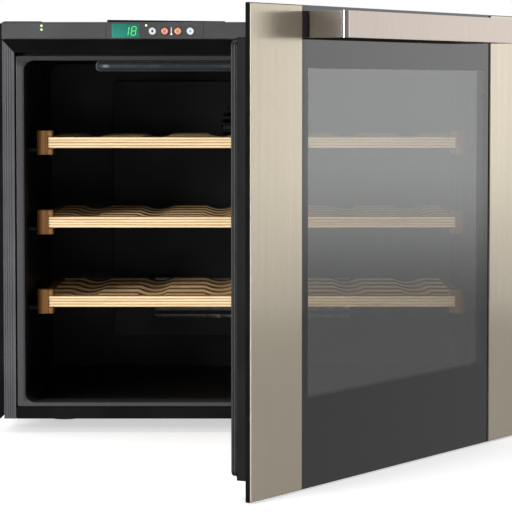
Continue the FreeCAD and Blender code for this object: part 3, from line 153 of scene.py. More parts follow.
class Bench:
    """Makes the nodes of one material."""

    def __init__(self, name: str) -> None:
        """Starts an empty material.

        Args:
            name: the material's name.
        """
        self.material = bpy.data.materials.new(name)
        self.material.use_nodes = True
        self.tree = self.material.node_tree
        self.tree.nodes.clear()
        self.output = self.tree.nodes.new("ShaderNodeOutputMaterial")

    def node(
        self,
        kind: str,
        settings: Optional[dict] = None,
        inputs: Optional[dict] = None,
        output: Union[int, str] = 0,
    ) -> Term:
        """Adds a node.

        Args:
            kind: the node's type.
            settings: attributes that are set first.
            inputs: values or links, by the input's name or number.
            output: which output is returned.

        Returns:
            The chosen output.
        """
        made = self.tree.nodes.new(kind)
        for key, setting in (settings or {}).items():
            setattr(made, key, setting)
        for key, value in (inputs or {}).items():
            if isinstance(value, Term):
                self.tree.links.new(value.socket, made.inputs[key])
            else:
                made.inputs[key].default_value = value
        return Term(self, made.outputs[output])

    def place(
        self, turn: Sequence[float] = (0, 0, 0), move: Sequence[float] = (0, 0, 0)
    ) -> Term:
        """Object coordinates, turned and then moved.

        Args:
            turn: the angle about each axis.
            move: the shift along each axis.

        Returns:
            The coordinates.
        """
        coordinates = self.node("ShaderNodeTexCoord", output="Object")
        inputs = {"Vector": coordinates, "Rotation": tuple(turn), "Location": tuple(move)}
        return self.node("ShaderNodeMapping", None, inputs)

    def stretch(self, vector: Term, scale: Sequence[float]) -> Term:
        """A vector times a scale along each axis."""
        return self.node("ShaderNodeVectorMath", {"operation": "MULTIPLY"}, {0: vector, 1: scale})

    def axes(self, vector: Term) -> tuple[Term, Term, Term]:
        """Splits a vector into its three parts.

        Args:
            vector: the vector.

        Returns:
            The x, y and z parts.
        """
        first = self.node("ShaderNodeSeparateXYZ", None, {0: vector})
        node = first.socket.node
        return first, Term(self, node.outputs[1]), Term(self, node.outputs[2])

    def noise(self, vector: Term, scale: float, detail: float = 3.0, rough: float = 0.5) -> Term:
        """Noise from 0 to 1 along a vector."""
        inputs = {"Vector": vector, "Scale": scale, "Detail": detail, "Roughness": rough}
        return self.node("ShaderNodeTexNoise", None, inputs)

    def blend(
        self, factor: Number, first: Union[Colour, Term], second: Union[Colour, Term]
    ) -> Term:
        """Mixes two colours.

        Args:
            factor: 0 for the first colour, 1 for the second.
            first: a colour or a link.
            second: a colour or a link.

        Returns:
            The colour between them.
        """
        made = self.tree.nodes.new("ShaderNodeMix")
        made.data_type = "RGBA"
        made.clamp_factor = True
        for key, value in ((0, factor), (6, first), (7, second)):
            if isinstance(value, Term):
                self.tree.links.new(value.socket, made.inputs[key])
            elif isinstance(value, tuple):
                made.inputs[key].default_value = (*value, 1.0)
            else:
                made.inputs[key].default_value = value
        return Term(self, made.outputs[2])

    def bump(self, height: Term, depth: float, strength: float = 1.0) -> Term:
        """A normal bent by a height, given in metres by depth."""
        inputs = {"Height": height, "Distance": depth, "Strength": strength}
        return self.node("ShaderNodeBump", None, inputs)

    def surface(self, inputs: dict) -> bpy.types.Material:
        """Finishes the material with one Principled shader.

        Args:
            inputs: values or links, by the shader's input names.

        Returns:
            The material.
        """
        shader = self.node("ShaderNodeBsdfPrincipled", None, inputs)
        self.tree.links.new(shader.socket, self.output.inputs["Surface"])
        return self.material


# ------------------------------------------------------------------------------- finishes


class Grain(Enum):
    """The direction that a finish is drawn along."""

    X = (0.02, 1.0, 1.0)
    Z = (1.0, 1.0, 0.02)


@dataclass(frozen=True)
class Moulded:
    """Moulded plastic: an eggshell texture, faint mottling and duller patches."""

    name: str
    colour: Colour
    rough: float = 0.42
    texture: float = 900.0
    depth: float = 0.00006
    mottle: float = 0.15
    shine: float = 0.5
    patches: float = 14.0

    def make(self) -> bpy.types.Material:
        """Makes the material.

        Returns:
            The finished material.
        """
        bench = Bench(self.name)
        spot = bench.place()
        fine = bench.noise(spot, self.texture, 2.0)
        broad = bench.noise(spot, self.patches, 4.0)
        paler_tone = tuple(min(1.0, part * (1 + 2 * self.mottle) + 0.004) for part in self.colour)
        return bench.surface(
            {
                "Base Color": bench.blend(broad.ramp(0.3, 0.75), self.colour, paler_tone),
                "Roughness": broad.ramp(0.2, 0.8, self.rough - 0.05, self.rough + 0.08),
                "Specular IOR Level": self.shine,
                "Normal": bench.bump(fine, self.depth),
            }
        )


@dataclass(frozen=True)
class Painted:
    """Sheet metal with a powder coat: orange peel and dust-dulled patches."""

    name: str
    colour: Colour
    rough: float = 0.38
    peel: float = 0.0001
    dimples: float = 420.0
    clouds: float = 6.0

    def make(self) -> bpy.types.Material:
        """Makes the material.

        Returns:
            The finished material.
        """
        bench = Bench(self.name)
        spot = bench.place()
        peel = bench.noise(spot, self.dimples, 1.5)
        cloud = bench.noise(spot, self.clouds, 5.0)
        lighter = tuple(min(1.0, part * 1.35 + 0.004) for part in self.colour)
        return bench.surface(
            {
                "Base Color": bench.blend(cloud.ramp(0.35, 0.8), self.colour, lighter),
                "Roughness": cloud.ramp(0.25, 0.75, self.rough - 0.06, self.rough + 0.1),
                "Normal": bench.bump(peel, self.peel),
            }
        )


@dataclass(frozen=True)
class Galvanised:
    """Zinc-coated sheet with soft spangles."""

    name: str
    colour: Colour = (0.42, 0.43, 0.44)
    spangles: float = 60.0

    def make(self) -> bpy.types.Material:
        """Makes the material.

        Returns:
            The finished material.
        """
        bench = Bench(self.name)
        spot = bench.place()
        inputs = {"Vector": spot, "Scale": self.spangles}
        cells = bench.node("ShaderNodeTexVoronoi", {"feature": "F1"}, inputs, "Color")
        tone = bench.axes(cells)[0]
        darker = tuple(part * 0.72 for part in self.colour)
        return bench.surface(
            {
                "Base Color": bench.blend(tone, darker, self.colour),
                "Metallic": 0.9,
                "Roughness": tone.ramp(0.0, 1.0, 0.36, 0.52),
                "Normal": bench.bump(bench.noise(spot, 300.0, 2.0), 0.00004),
            }
        )


@dataclass(frozen=True)
class Brushed:
    """Brushed steel: long fine scratches along the grain, and slow changes of tone."""

    name: str
    colour: Colour
    grain: Grain = Grain.Z
    rough: float = 0.3
    scratch: float = 0.00002
    contrast: float = 0.16
    metal: float = 0.85
    scratches: float = 2600.0
    bands: float = 160.0

    def make(self) -> bpy.types.Material:
        """Makes the material.

        Returns:
            The finished material.
        """
        bench = Bench(self.name)
        spot = bench.place()
        lines = bench.noise(bench.stretch(spot, self.grain.value), self.scratches, 3.0, 0.65)
        bands = bench.noise(bench.stretch(spot, self.grain.value), self.bands, 3.0, 0.6)
        cloud = bench.noise(spot, 4.0, 3.0)
        tone = lines * 0.45 + bands * 0.4 + cloud * 0.15
        darker = tuple(part * (1 - self.contrast) for part in self.colour)
        lighter = tuple(min(1.0, part * (1 + self.contrast)) for part in self.colour)
        return bench.surface(
            {
                "Base Color": bench.blend(tone.ramp(0.3, 0.7), darker, lighter),
                "Metallic": self.metal,
                "Roughness": tone.ramp(0.3, 0.7, self.rough + 0.05, self.rough - 0.05),
                "Normal": bench.bump(lines, self.scratch, 0.6),
            }
        )


@dataclass(frozen=True)
class Metal:
    """Plain metal with handling marks."""

    name: str
    colour: Colour
    rough: float = 0.3
    marks: float = 220.0

    def make(self) -> bpy.types.Material:
        """Makes the material.

        Returns:
            The finished material.
        """
        bench = Bench(self.name)
        spot = bench.place()
        cloud = bench.noise(spot, self.marks, 4.0)
        darker = tuple(part * 0.8 for part in self.colour)
        return bench.surface(
            {
                "Base Color": bench.blend(cloud.ramp(0.3, 0.7), darker, self.colour),
                "Metallic": 1.0,
                "Roughness": cloud.ramp(0.3, 0.7, self.rough - 0.05, self.rough + 0.1),
                "Normal": bench.bump(cloud, 0.00001),
            }
        )


@dataclass(frozen=True)
class Beech:
    """Oiled beech: growth lines along the piece, short dark flecks and warm tone changes."""

    name: str
    pale: Colour = (0.88, 0.715, 0.445)
    dark: Colour = (0.5, 0.29, 0.12)
    grain: Grain = Grain.X
    layer: float = 0.0
    layer_start: float = 0.0
    rough: float = 0.46
    growth: float = 420.0
    shades: float = 70.0
    flecks: float = 700.0
    sheets: float = 90.0

    def make(self) -> bpy.types.Material:
        """Makes the material.

        Returns:
            The finished material.
        """
        bench = Bench(self.name)
        spot = bench.place()
        along = bench.stretch(spot, self.grain.value)
        lines = bench.noise(along, self.growth, 4.0, 0.62)
        broad = bench.noise(along, self.shades, 3.0)
        flecks = bench.noise(bench.stretch(along, (3.0, 3.0, 3.0)), self.flecks, 2.0)
        tone = lines.ramp(0.35, 0.75) * 0.4 + broad.ramp(0.3, 0.75) * 0.35
        tone = tone + flecks.ramp(0.6, 0.75) * 0.2
        if self.layer:
            level = (bench.axes(spot)[2] - self.layer_start) / self.layer
            part = level - level.whole()
            glue = (part - 0.5).distance().ramp(0.26, 0.5)
            sheets = bench.noise(bench.stretch(along, (0.4, 1.0, 1.0)), self.sheets, 2.0)
            tone = tone + glue * sheets.ramp(0.2, 0.7, 0.55, 1.1)
        return bench.surface(
            {
                "Base Color": bench.blend(tone.ramp(0.1, 0.95), self.pale, self.dark),
                "Roughness": tone.ramp(0.0, 1.0, self.rough - 0.06, self.rough + 0.1),
                "Specular IOR Level": 0.12,
                "Normal": bench.bump(lines, 0.00006),
            }
        )


@dataclass(frozen=True)
class Rubber:
    """Soft rubber with a dusty bloom."""

    name: str
    colour: Colour = (0.022, 0.022, 0.024)
    rough: float = 0.5
    dust: float = 55.0
    pores: float = 1300.0

    def make(self) -> bpy.types.Material:
        """Makes the material.

        Returns:
            The finished material.
        """
        bench = Bench(self.name)
        spot = bench.place()
        bloom = bench.noise(spot, self.dust, 5.0)
        grey = tuple(part + 0.02 for part in self.colour)
        return bench.surface(
            {
                "Base Color": bench.blend(bloom.ramp(0.45, 0.8), self.colour, grey),
                "Roughness": bloom.ramp(0.3, 0.8, self.rough, self.rough + 0.16),
                "Normal": bench.bump(bench.noise(spot, self.pores, 2.0), 0.00003),
            }
        )


@dataclass(frozen=True)
class Lit:
    """Something that shines: a lamp's lens or a light pipe."""

    name: str
    colour: Colour
    strength: float
    base: Colour = (0.5, 0.5, 0.5)
    uneven: float = 40.0

    def make(self) -> bpy.types.Material:
        """Makes the material.

        Returns:
            The finished material.
        """
        bench = Bench(self.name)
        cloud = bench.noise(bench.place(), self.uneven, 2.0)
        dim = tuple(part * 0.6 for part in self.colour)
        return bench.surface(
            {
                "Base Color": (*self.base, 1.0),
                "Roughness": 0.25,
                "Emission Color": bench.blend(cloud.ramp(0.35, 0.65), dim, self.colour),
                "Emission Strength": self.strength,
            }
        )


@dataclass(frozen=True)
class Foam:
    """Rigid foam with open cells, painted near-black over its front part as painted shade."""

    name: str
    shade_end_y: float
    colour: Colour = (0.80, 0.68, 0.42)
    cells: float = 500.0

    def make(self) -> bpy.types.Material:
        """Makes the material.

        Returns:
            The finished material.
        """
        bench = Bench(self.name)
        spot = bench.place()
        inputs = {"Vector": spot, "Scale": self.cells}
        cells = bench.node("ShaderNodeTexVoronoi", {"feature": "F1"}, inputs)
        darker = tuple(part * 0.7 for part in self.colour)
        open_cells = bench.blend(cells, darker, self.colour)
        # Near-black over the front part: painted shade where the foam shows in the gap behind the surround.
        inside = bench.axes(spot)[1].ramp(self.shade_end_y - 5 * MM, self.shade_end_y)
        return bench.surface(
            {
                "Base Color": bench.blend(inside, (0.004, 0.004, 0.004), open_cells),
                "Roughness": 0.9,
                "Normal": bench.bump(cells, 0.0003),
            }
        )


@dataclass(frozen=True)
class CardGlow:
    """A reflection card's own light, which may change with height."""

    name: str
    foot: float
    head: float
    start: float = 0.0
    end: float = 1.0

    def make(self) -> bpy.types.Material:
        """Makes the material.

        Returns:
            The finished material.
        """
        bench = Bench(self.name)
        colour = (self.foot, self.foot, self.foot, 1.0)
        if self.head != self.foot:
            height = bench.axes(bench.place())[2]
            colour = bench.blend(
                height.ramp(self.start, self.end), (self.foot,) * 3, (self.head,) * 3
            )
        glow = bench.node("ShaderNodeEmission", None, {"Color": colour, "Strength": 1.0})
        bench.tree.links.new(glow.socket, bench.output.inputs["Surface"])
        return bench.material


# ------------------------------------------------------------------------------ the door's pose


@dataclass(frozen=True)
class Hinge:
    """Where the door turns, and how far open it stands at rest."""

    x: float
    y: float
    open_angle: float

    @classmethod
    def of_frame(cls) -> "Hinge":
        """Reads the door's joint."""
        joint = next(item for item in frame["joints"] if item["name"] == "door_hinge")
        return cls(joint["pos_m"][0], joint["pos_m"][1], math.radians(-joint["range_deg"][0]))

    def matrix(self) -> Matrix:
        """Takes a point of the shut door, round the hinge axis, to its place at rest."""
        return Matrix.Translation((self.x, self.y, 0)) @ Matrix.Rotation(self.open_angle, 4, "Z")

    def shut_place(self, bench: Bench) -> Term:
        """Object coordinates turned back to the shut door's, round the hinge axis.

        Args:
            bench: the material that reads them.

        Returns:
            The coordinates.
        """
        back = Matrix.Rotation(-self.open_angle, 4, "Z") @ Vector((-self.x, -self.y, 0))
        return bench.place((0, 0, -self.open_angle), tuple(back))

    def shut_box(self, node: str) -> Box:
        """A door node's corners in the shut door's coordinates.

        Args:
            node: the node's name.

        Returns:
            The low and the high corner.
        """
        inverse = self.matrix().inverted()
        points = [inverse @ vertex.co for vertex in frame["nodes"][node].data.vertices]
        low = Vector([min(point[axis] for point in points) for axis in range(3)])
        high = Vector([max(point[axis] for point in points) for axis in range(3)])
        return low, high


HINGE = Hinge.of_frame()


@dataclass(frozen=True)
class TintedPane:
    """Grey glass, clear in a window and printed black round it."""

    name: str
    window: tuple[float, float, float, float]
    veil: float
    tint: Colour
    mirror: float = 0.0
    bend: float = 1.52
    ink: Colour = (0.003, 0.003, 0.003)
    printed: bool = True
    print_edge: float = 0.4 * MM

    def make(self) -> bpy.types.Material:
        """Makes the material, with the window in the shut door's coordinates.

        Returns:
            The finished material.
        """
        bench = Bench(self.name)
        spot = HINGE.shut_place(bench)
        x, _, z = bench.axes(spot)
        left, right, low, high = self.window
        beside = (x - (left + right) / 2).distance() - (right - left) / 2
        above = (z - (low + high) / 2).distance() - (high - low) / 2
        edge = beside.larger(above)
        ink = edge.ramp(-self.print_edge, self.print_edge) if self.printed else edge.ramp(5.0, 6.0)
        smear = bench.noise(bench.stretch(spot, (1.0, 1.0, 0.4)), 9.0, 4.0)
        return bench.surface(
            {
                "Base Color": bench.blend(ink, self.tint, self.ink),
                "Roughness": smear.ramp(0.35, 0.8, 0.03, 0.07),
                "Metallic": (1 - ink) * self.mirror,
                "Alpha": ink * (1 - self.veil) + self.veil,
                "IOR": self.bend,
            }
        )


# ------------------------------------------------------------------------------- modelling


def everything_off() -> None:
    """Leaves nothing selected."""
    bpy.ops.object.select_all(action="DESELECT")


def only(piece: bpy.types.Object) -> None:
    """Selects one object and makes it active.

    Args:
        piece: the object.
    """
    everything_off()
    piece.select_set(True)
    bpy.context.view_layer.objects.active = piece


def settle(piece: bpy.types.Object) -> None:
    """Puts an object's place into its mesh."""
    only(piece)
    bpy.ops.object.transform_apply(location=True, rotation=True, scale=True)


def apply_all(piece: bpy.types.Object) -> None:
    """Applies every modifier of an object.

    Args:
        piece: the object.
    """
    only(piece)
    for modifier in list(piece.modifiers):
        bpy.ops.object.modifier_apply(modifier=modifier.name)


def bevel(piece: bpy.types.Object, width: float, segments: int = 2, angle: float = 30) -> None:
    """Rounds an object's sharp edges.

    Args:
        piece: the object.
        width: the rounding's width in metres.
        segments: the faces across each rounding.
        angle: the least turn, in degrees, of an edge that is rounded.
    """
    rounding = piece.modifiers.new("rounding", "BEVEL")
    rounding.width = width
    rounding.segments = segments
    rounding.limit_method = "ANGLE"
    rounding.angle_limit = math.radians(angle)
    apply_all(piece)
    only(piece)
    bpy.ops.object.shade_smooth_by_angle(angle=SMOOTH_ANGLE)
    keep_flats(piece)


def keep_flats(piece: bpy.types.Object) -> None:
    """Lets the broad faces set the shading normals, so that they look flat to their edges.

    Args:
        piece: the object.
    """
    weighting = piece.modifiers.new("weighting", "WEIGHTED_NORMAL")
    weighting.keep_sharp = True
    weighting.weight = 100
    apply_all(piece)


def block(name: str, low: Sequence[float], high: Sequence[float]) -> bpy.types.Object:
    """Adds a cuboid, its place in its mesh.

    Args:
        name: the object's name.
        low: its low corner.
        high: its high corner.

    Returns:
        The object.
    """
    low, high = Vector(low), Vector(high)
    everything_off()
    bpy.ops.mesh.primitive_cube_add(size=1, location=(low + high) / 2)
    piece = bpy.context.active_object
    piece.name = name
    piece.scale = high - low
    settle(piece)
    return piece


def disc(
    name: str, centre: Sequence[float], radius: float, deep: float, axis: str = "Y", sides: int = 40
) -> bpy.types.Object:
    """Adds a cylinder, its place in its mesh.

    Args:
        name: the object's name.
        centre: the middle of its axis.
        radius: its radius.
        deep: its length along the axis.
        axis: X, Y or Z.
        sides: the faces round it.

    Returns:
        The object.
    """
    turns = {"X": (0, math.pi / 2, 0), "Y": (math.pi / 2, 0, 0), "Z": (0, 0, 0)}
    everything_off()
    bpy.ops.mesh.primitive_cylinder_add(
        vertices=sides, radius=radius, depth=deep, location=centre, rotation=turns[axis]
    )
    piece = bpy.context.active_object
    piece.name = name
    settle(piece)
    return piece


def edit_all(piece: bpy.types.Object) -> None:
    """Opens an object for editing with all of it selected.

    Args:
        piece: the object.
    """
    only(piece)
    bpy.ops.object.mode_set(mode="EDIT")
    bpy.ops.mesh.select_all(action="SELECT")


def done_editing() -> None:
    """Goes back to object mode."""
    bpy.ops.object.mode_set(mode="OBJECT")


def join(name: str, pieces: Sequence[bpy.types.Object]) -> bpy.types.Object:
    """Joins objects into one.

    Args:
        name: the joined object's name.
        pieces: the objects.

    Returns:
        The joined object.
    """
    everything_off()
    for piece in pieces:
        piece.select_set(True)
    bpy.context.view_layer.objects.active = pieces[0]
    if len(pieces) > 1:
        bpy.ops.object.join()
    result = bpy.context.active_object
    result.name = name
    return result


def copied(piece: bpy.types.Object, change: Matrix) -> bpy.types.Object:
    """A copy of an object with its own mesh, moved or mirrored.

    Args:
        piece: the object.
        change: the move or mirror.

    Returns:
        The copy.
    """
    copy = piece.copy()
    copy.data = piece.data.copy()
    bpy.context.collection.objects.link(copy)
    copy.data.transform(change)
    if change.determinant() < 0:
        edit_all(copy)
        bpy.ops.mesh.customdata_custom_splitnormals_clear()
        bpy.ops.mesh.normals_make_consistent(inside=False)
        done_editing()
        keep_flats(copy)
    return copy


def repeated(
    name: str, piece: bpy.types.Object, places: Sequence[Sequence[float]]
) -> bpy.types.Object:
    """One object made of copies of a piece.

    Args:
        name: the object's name.
        piece: the piece at the origin, which is used up.
        places: where the copies go.

    Returns:
        The object.
    """
    copies = [copied(piece, Matrix.Translation(place)) for place in places]
    bpy.data.objects.remove(piece)
    return join(name, copies)


def dress(pieces: Iterable[bpy.types.Object], material: bpy.types.Material) -> None:
    """Gives objects one material.

    Args:
        pieces: the objects.
        material: the material.
    """
    for piece in pieces:
        if piece.material_slots:
            for slot in piece.material_slots:
                slot.material = material
        else:
            piece.data.materials.append(material)


def dress_node(name: str, material: bpy.types.Material) -> None:
    """Gives a CAD node a material."""
    dress([frame["nodes"][name]], material)
    LOG.info("%s is dressed in %s", name, material.name)


def softened(node: str, width: float, segments: int = 2) -> bpy.types.Object:
    """A copy of a CAD node with its edges rounded, which stands for the node.

    Args:
        node: the node's name.
        width: the rounding's width in metres.
        segments: the faces across each rounding.

    Returns:
        The new piece, riding on the node's body.
    """
    source = frame["nodes"][node]
    piece = source.copy()
    piece.data = source.data.copy()
    piece.name = f"{node}_shaped"
    bpy.context.collection.objects.link(piece)
    edit_all(piece)
    bpy.ops.mesh.remove_doubles(threshold=MERGE_GAP)
    bpy.ops.mesh.customdata_custom_splitnormals_clear()
    bpy.ops.mesh.dissolve_limited(angle_limit=FLAT_ANGLE)
    done_editing()
    bevel(piece, width, segments)
    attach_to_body(piece, body_of(node))
    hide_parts(node)
    LOG.info("%s stands for %s", piece.name, node)
    return piece


def body_of(node: str) -> str:
    """The name of the body that a node belongs to."""
    groups = frame["record"]["behaviour"]["bodies"]
    return next(body for body, members in groups.items() if node in members)


def attach(piece: bpy.types.Object, body: str) -> None:
    """Makes a new piece ride on a body and logs where it rides.

    Args:
        piece: the new piece.
        body: the body's name.
    """
    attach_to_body(piece, body)
    LOG.info("%s rides on %s", piece.name, body)


# ------------------------------------------------------------------------------- sub-assemblies


@dataclass
class Casing:
    """The cabinet's shell, base, rear cover, feet, surround and trims."""

    cover_inset: float = 9 * MM
    foam_shade_depth: float = 40 * MM
    head_radius: float = 3.6 * MM
    head_dome: float = 0.8 * MM
    recess_depth: float = 1.3 * MM
    shell: bpy.types.Material = field(
        default_factory=lambda: Painted("shell_paint", (0.032, 0.032, 0.034), 0.4).make()
    )
    trim: bpy.types.Material = field(
        default_factory=lambda: Moulded(
            "trim_paint", (0.004, 0.004, 0.004), 0.42, 420.0, shine=0.05
        ).make()
    )
    surround: bpy.types.Material = field(
        default_factory=lambda: Moulded(
            "surround_plastic", (0.075, 0.072, 0.077), 0.45, shine=0.25
        ).make()
    )
    dark: bpy.types.Material = field(
        default_factory=lambda: Moulded(
            "surround_dark", (0.002, 0.002, 0.0022), 0.4, mottle=0.05, shine=0.12
        ).make()
    )
    zinc: bpy.types.Material = field(default_factory=lambda: Galvanised("galvanised_sheet").make())
    black: bpy.types.Material = field(
        default_factory=lambda: Moulded("black_plastic", (0.018, 0.018, 0.019), 0.45).make()
    )

    def build(self) -> None:
        """Shapes and dresses the casing."""
        dress([softened("outer_shell", 0.5 * MM)], self.shell)
        for node in ("front_frame_left", "front_frame_right"):
            dress([softened(node, 0.25 * MM)], self.surround)
        # The frame's top piece is made near-black, unlike the grey sides of the same moulding: painted shade.
        shaded = Moulded("top_frame_dark", (0.002, 0.002, 0.0022), 0.5, mottle=0.05, shine=0.03)
        dress([softened("front_frame_top", 0.25 * MM)], shaded.make())
        dress([softened("bottom_panel", 0.25 * MM)], self.dark)
        for node in ("trim_flange_left", "trim_flange_right"):
            dress([softened(node, 0.5 * MM)], self.trim)
        dress_node("rear_panel", self.zinc)
        dress_node("machine_cover", self.zinc)
        dress_node("base_plate", self.black)
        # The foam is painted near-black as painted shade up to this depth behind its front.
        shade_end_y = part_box("insulation_foam")[0][1] + self.foam_shade_depth
        dress_node("insulation_foam", Foam("foam", shade_end_y).make())
        dress_node("feet", Rubber("foot_rubber").make())
        self.cover_screws()

    def cover_screws(self) -> None:
        """Pan-head screws round the rear cover's edge."""
        low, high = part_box("machine_cover")
        inset = self.cover_inset
        steel = Metal("screw_steel", (0.6, 0.6, 0.62), 0.3).make()
        rows = [low[2] + inset + step * (high[2] - low[2] - 2 * inset) / 3 for step in range(4)]
        sides = (low[0] + inset, high[0] - inset)
        places = [(side, high[1], row) for side in sides for row in rows]
        places += [((low[0] + high[0]) / 2, high[1], row) for row in (rows[0], rows[-1])]
        screws = repeated("rear_cover_screws", self.screw_head(), places)
        dress([screws], steel)
        attach(screws, "cabinet")

    def screw_head(self) -> bpy.types.Object:
        """One domed head with a cross recess at the origin, facing the back.

        Returns:
            The head.
        """
        head = disc("screw_head", (0, 0.5 * MM, 0), self.head_radius, 1.8 * MM, "Y", 24)
        bevel(head, self.head_dome, 3)
        for wide, tall in ((3.6, 0.8), (0.8, 3.6)):
            size = Vector((wide / 2 * MM, 0.5 * MM, tall / 2 * MM))
            middle = Vector((0, self.recess_depth, 0))
            arm = block("recess_arm", middle - size, middle + size)
            carve = head.modifiers.new("recess", "BOOLEAN")
            carve.operation = "DIFFERENCE"
            carve.solver = "FAST"
            carve.object = arm
            apply_all(head)
            bpy.data.objects.remove(arm)
        return head


@dataclass
class Panel:
    """The control panel: moulding, display, buttons, lights and printed marks."""

    proud: float = 0.25 * MM
    bar: float = 1.05 * MM
    lean: float = 0.14
    bead_front: float = 3 * MM
    bead_back: float = 13 * MM
    bead_sunk: float = 0.6 * MM
    rim_radius: float = 4.75 * MM
    rim_thick: float = 0.28 * MM
    fascia: bpy.types.Material = field(
        default_factory=lambda: Moulded(
            "panel_plastic", (0.05, 0.049, 0.05), 0.45, shine=0.25
        ).make()
    )

    def build(self) -> None:
        """Shapes and dresses the panel."""
        for node in ("control_fascia", "top_trim"):
            dress([softened(node, 0.25 * MM)], self.fascia)
        dress_node("control_board", Moulded("circuit_board", (0.02, 0.12, 0.05), 0.4).make())
        self.lip()
        self.display()
        self.buttons()
        self.marks()
        self.lights()

    def lip(self) -> None:
        """Black beads along the top edge, over the fascia and at the trim's left end."""
        low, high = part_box("control_fascia")
        trim_low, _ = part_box("top_trim")
        front, back = low[1] + self.bead_front, low[1] + self.bead_back
        foot = high[2] - self.bead_sunk
        bead = block(
            "fascia_bead",
            (low[0] + 1 * MM, front, foot),
            (high[0] + 24 * MM, back, high[2] + 2.4 * MM),
        )
        for vertex in bead.data.vertices:
            if vertex.co.z > high[2] and vertex.co.x > high[0]:
                vertex.co.z = high[2] + 0.9 * MM
        corner = block(
            "end_bead",
            (trim_low[0] + 2 * MM, front, foot),
            (trim_low[0] + 43 * MM, back, high[2] + 0.8 * MM),
        )
        looks = ((bead, "bead_black", 0.5 * MM), (corner, "end_bead_black", 0.4 * MM))
        for piece, finish, rounding in looks:
            bevel(piece, rounding, 3)
            dress([piece], Moulded(finish, (0.003, 0.003, 0.003), 0.6, shine=0.05).make())
            attach(piece, "cabinet")

    def display(self) -> None:
        """Glowing window with a two-figure temperature."""
        low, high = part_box("display_window")
        bench = Bench("display_glass")
        across, _, upward = bench.axes(bench.place())
        glow = across.ramp(low[0], high[0], 1.0, 0.45) * upward.ramp(low[2], high[2], 1.0, 0.6)
        glow = glow * bench.noise(bench.place(), 300.0, 2.0).ramp(0.2, 0.8, 0.8, 1.1)
        colour = bench.blend(glow, (0.0, 0.05, 0.02), (0.01, 0.36, 0.27))
        material = bench.surface(
            {
                "Base Color": (0.01, 0.06, 0.05, 1.0),
                "Roughness": 0.22,
                "Emission Color": colour,
                "Emission Strength": 0.66,
            }
        )
        dress([softened("display_window", 0.2 * MM)], material)
        figures = []
        tall = (high[2] - low[2]) * 0.6
        wide = tall * 0.5
        base = low[2] + (high[2] - low[2]) * 0.18
        face = low[1] - 0.15 * MM
        starts = (high[0] - 17.2 * MM, high[0] - 9.2 * MM)
        for figure, start in zip("18", starts):
            figures.extend(self.figure(figure, start, base, wide, tall, face))
        digits = join("display_figures", figures)
        for vertex in digits.data.vertices:
            vertex.co.x += (vertex.co.z - base) * self.lean
        green = Lit("figure_green", (0.12, 0.72, 0.16), 0.95, (0.05, 0.3, 0.1), 900.0)
        dress([digits], green.make())
        attach(digits, "cabinet")

    def figure(
        self, name: str, x: float, z: float, wide: float, tall: float, face: float
    ) -> list[bpy.types.Object]:
        """The lit bars of one seven-bar figure.

        Args:
            name: the digit.
            x: its left side.
            z: its foot.
            wide: its width.
            tall: its height.
            face: the y of its front.

        Returns:
            The bars.
        """
        lit = {"1": "bc", "8": "abcdefg"}[name]
        half = tall / 2
        flat = {"a": tall, "g": half, "d": 0.0}
        upright = {"f": (0.0, half), "b": (wide, half), "e": (0.0, 0.0), "c": (wide, 0.0)}
        bars = []
        thick = self.bar / 2
        for bar in lit:
            if bar in flat:
                level = z + flat[bar]
                low = (x + thick, face, level - thick)
                high = (x + wide - thick, face + self.proud, level + thick)
            else:
                side, foot = upright[bar]
                low = (x + side - thick, face, z + foot + thick * 0.6)
                high = (x + side + thick, face + self.proud, z + foot + half - thick * 0.6)
            piece = block("bar", low, high)
            bevel(piece, 0.1 * MM, 2)
            bars.append(piece)
        return bars

    def buttons(self) -> None:
        """Round keys with a ring and a pale middle."""
        looks = {
            "button_power": ((0.4, 0.42, 0.45), (0.72, 0.75, 0.78), (0.03, 0.03, 0.04)),
            "button_up": ((0.4, 0.09, 0.06), (0.72, 0.38, 0.3), (0.62, 0.16, 0.07)),
            "button_down": ((0.42, 0.11, 0.05), (0.74, 0.4, 0.28), (0.66, 0.24, 0.08)),
            "button_light": ((0.34, 0.42, 0.54), (0.8, 0.86, 0.92), (0.36, 0.44, 0.56)),
        }
        for node, (rim, pale, middle) in looks.items():
            low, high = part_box(node)
            x, z = (low[0] + high[0]) / 2, (low[2] + high[2]) / 2
            bench = Bench(f"{node}_face")
            across, _, upward = bench.axes(bench.place(move=(-x, 0, -z)))
            radius = (across * across + upward * upward).power(0.5)
            ring = radius.ramp(1.3 * MM, 2.0 * MM) * radius.ramp(2.9 * MM, 3.5 * MM, 1.0, 0.0)
            core = radius.ramp(0.9 * MM, 1.5 * MM, 1.0, 0.0)
            colour = bench.blend(core, bench.blend(ring, rim, pale), middle)
            grain = bench.noise(bench.place(), 900.0, 2.0)
            material = bench.surface(
                {
                    "Base Color": colour,
                    "Roughness": grain.ramp(0.2, 0.8, 0.18, 0.3),
                    "Coat Weight": 0.6,
                    "Normal": bench.bump(ring, 0.0002, 0.7),
                }
            )
            dress([softened(node, 0.5 * MM, 3)], material)

    def marks(self) -> None:
        """A small thermometer mark between the two temperature keys."""
        up_low, up_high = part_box("button_up")
        down_low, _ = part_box("button_down")
        fascia_low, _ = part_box("control_fascia")
        x = (up_high[0] + down_low[0]) / 2
        z = (up_low[2] + up_high[2]) / 2
        face = fascia_low[1]
        stem = block(
            "mark_stem",
            (x - 0.45 * MM, face - 0.15 * MM, z - 2.5 * MM),
            (x + 0.45 * MM, face + 0.1 * MM, z + 4.2 * MM),
        )
        bulb = disc("mark_bulb", (x, face - 0.02 * MM, z - 3.2 * MM), 1.1 * MM, 0.26 * MM, "Y", 24)
        bevel(stem, 0.1 * MM, 2)
        bevel(bulb, 0.1 * MM, 2)
        mark = join("temperature_mark", [stem, bulb])
        dress([mark], Moulded("mark_white", (0.85, 0.85, 0.83), 0.4).make())
        attach(mark, "cabinet")
        fixed = self.key_rims()
        dress([fixed], Moulded("rim_dark", (0.012, 0.012, 0.013), 0.35).make())
        attach(fixed, "cabinet")

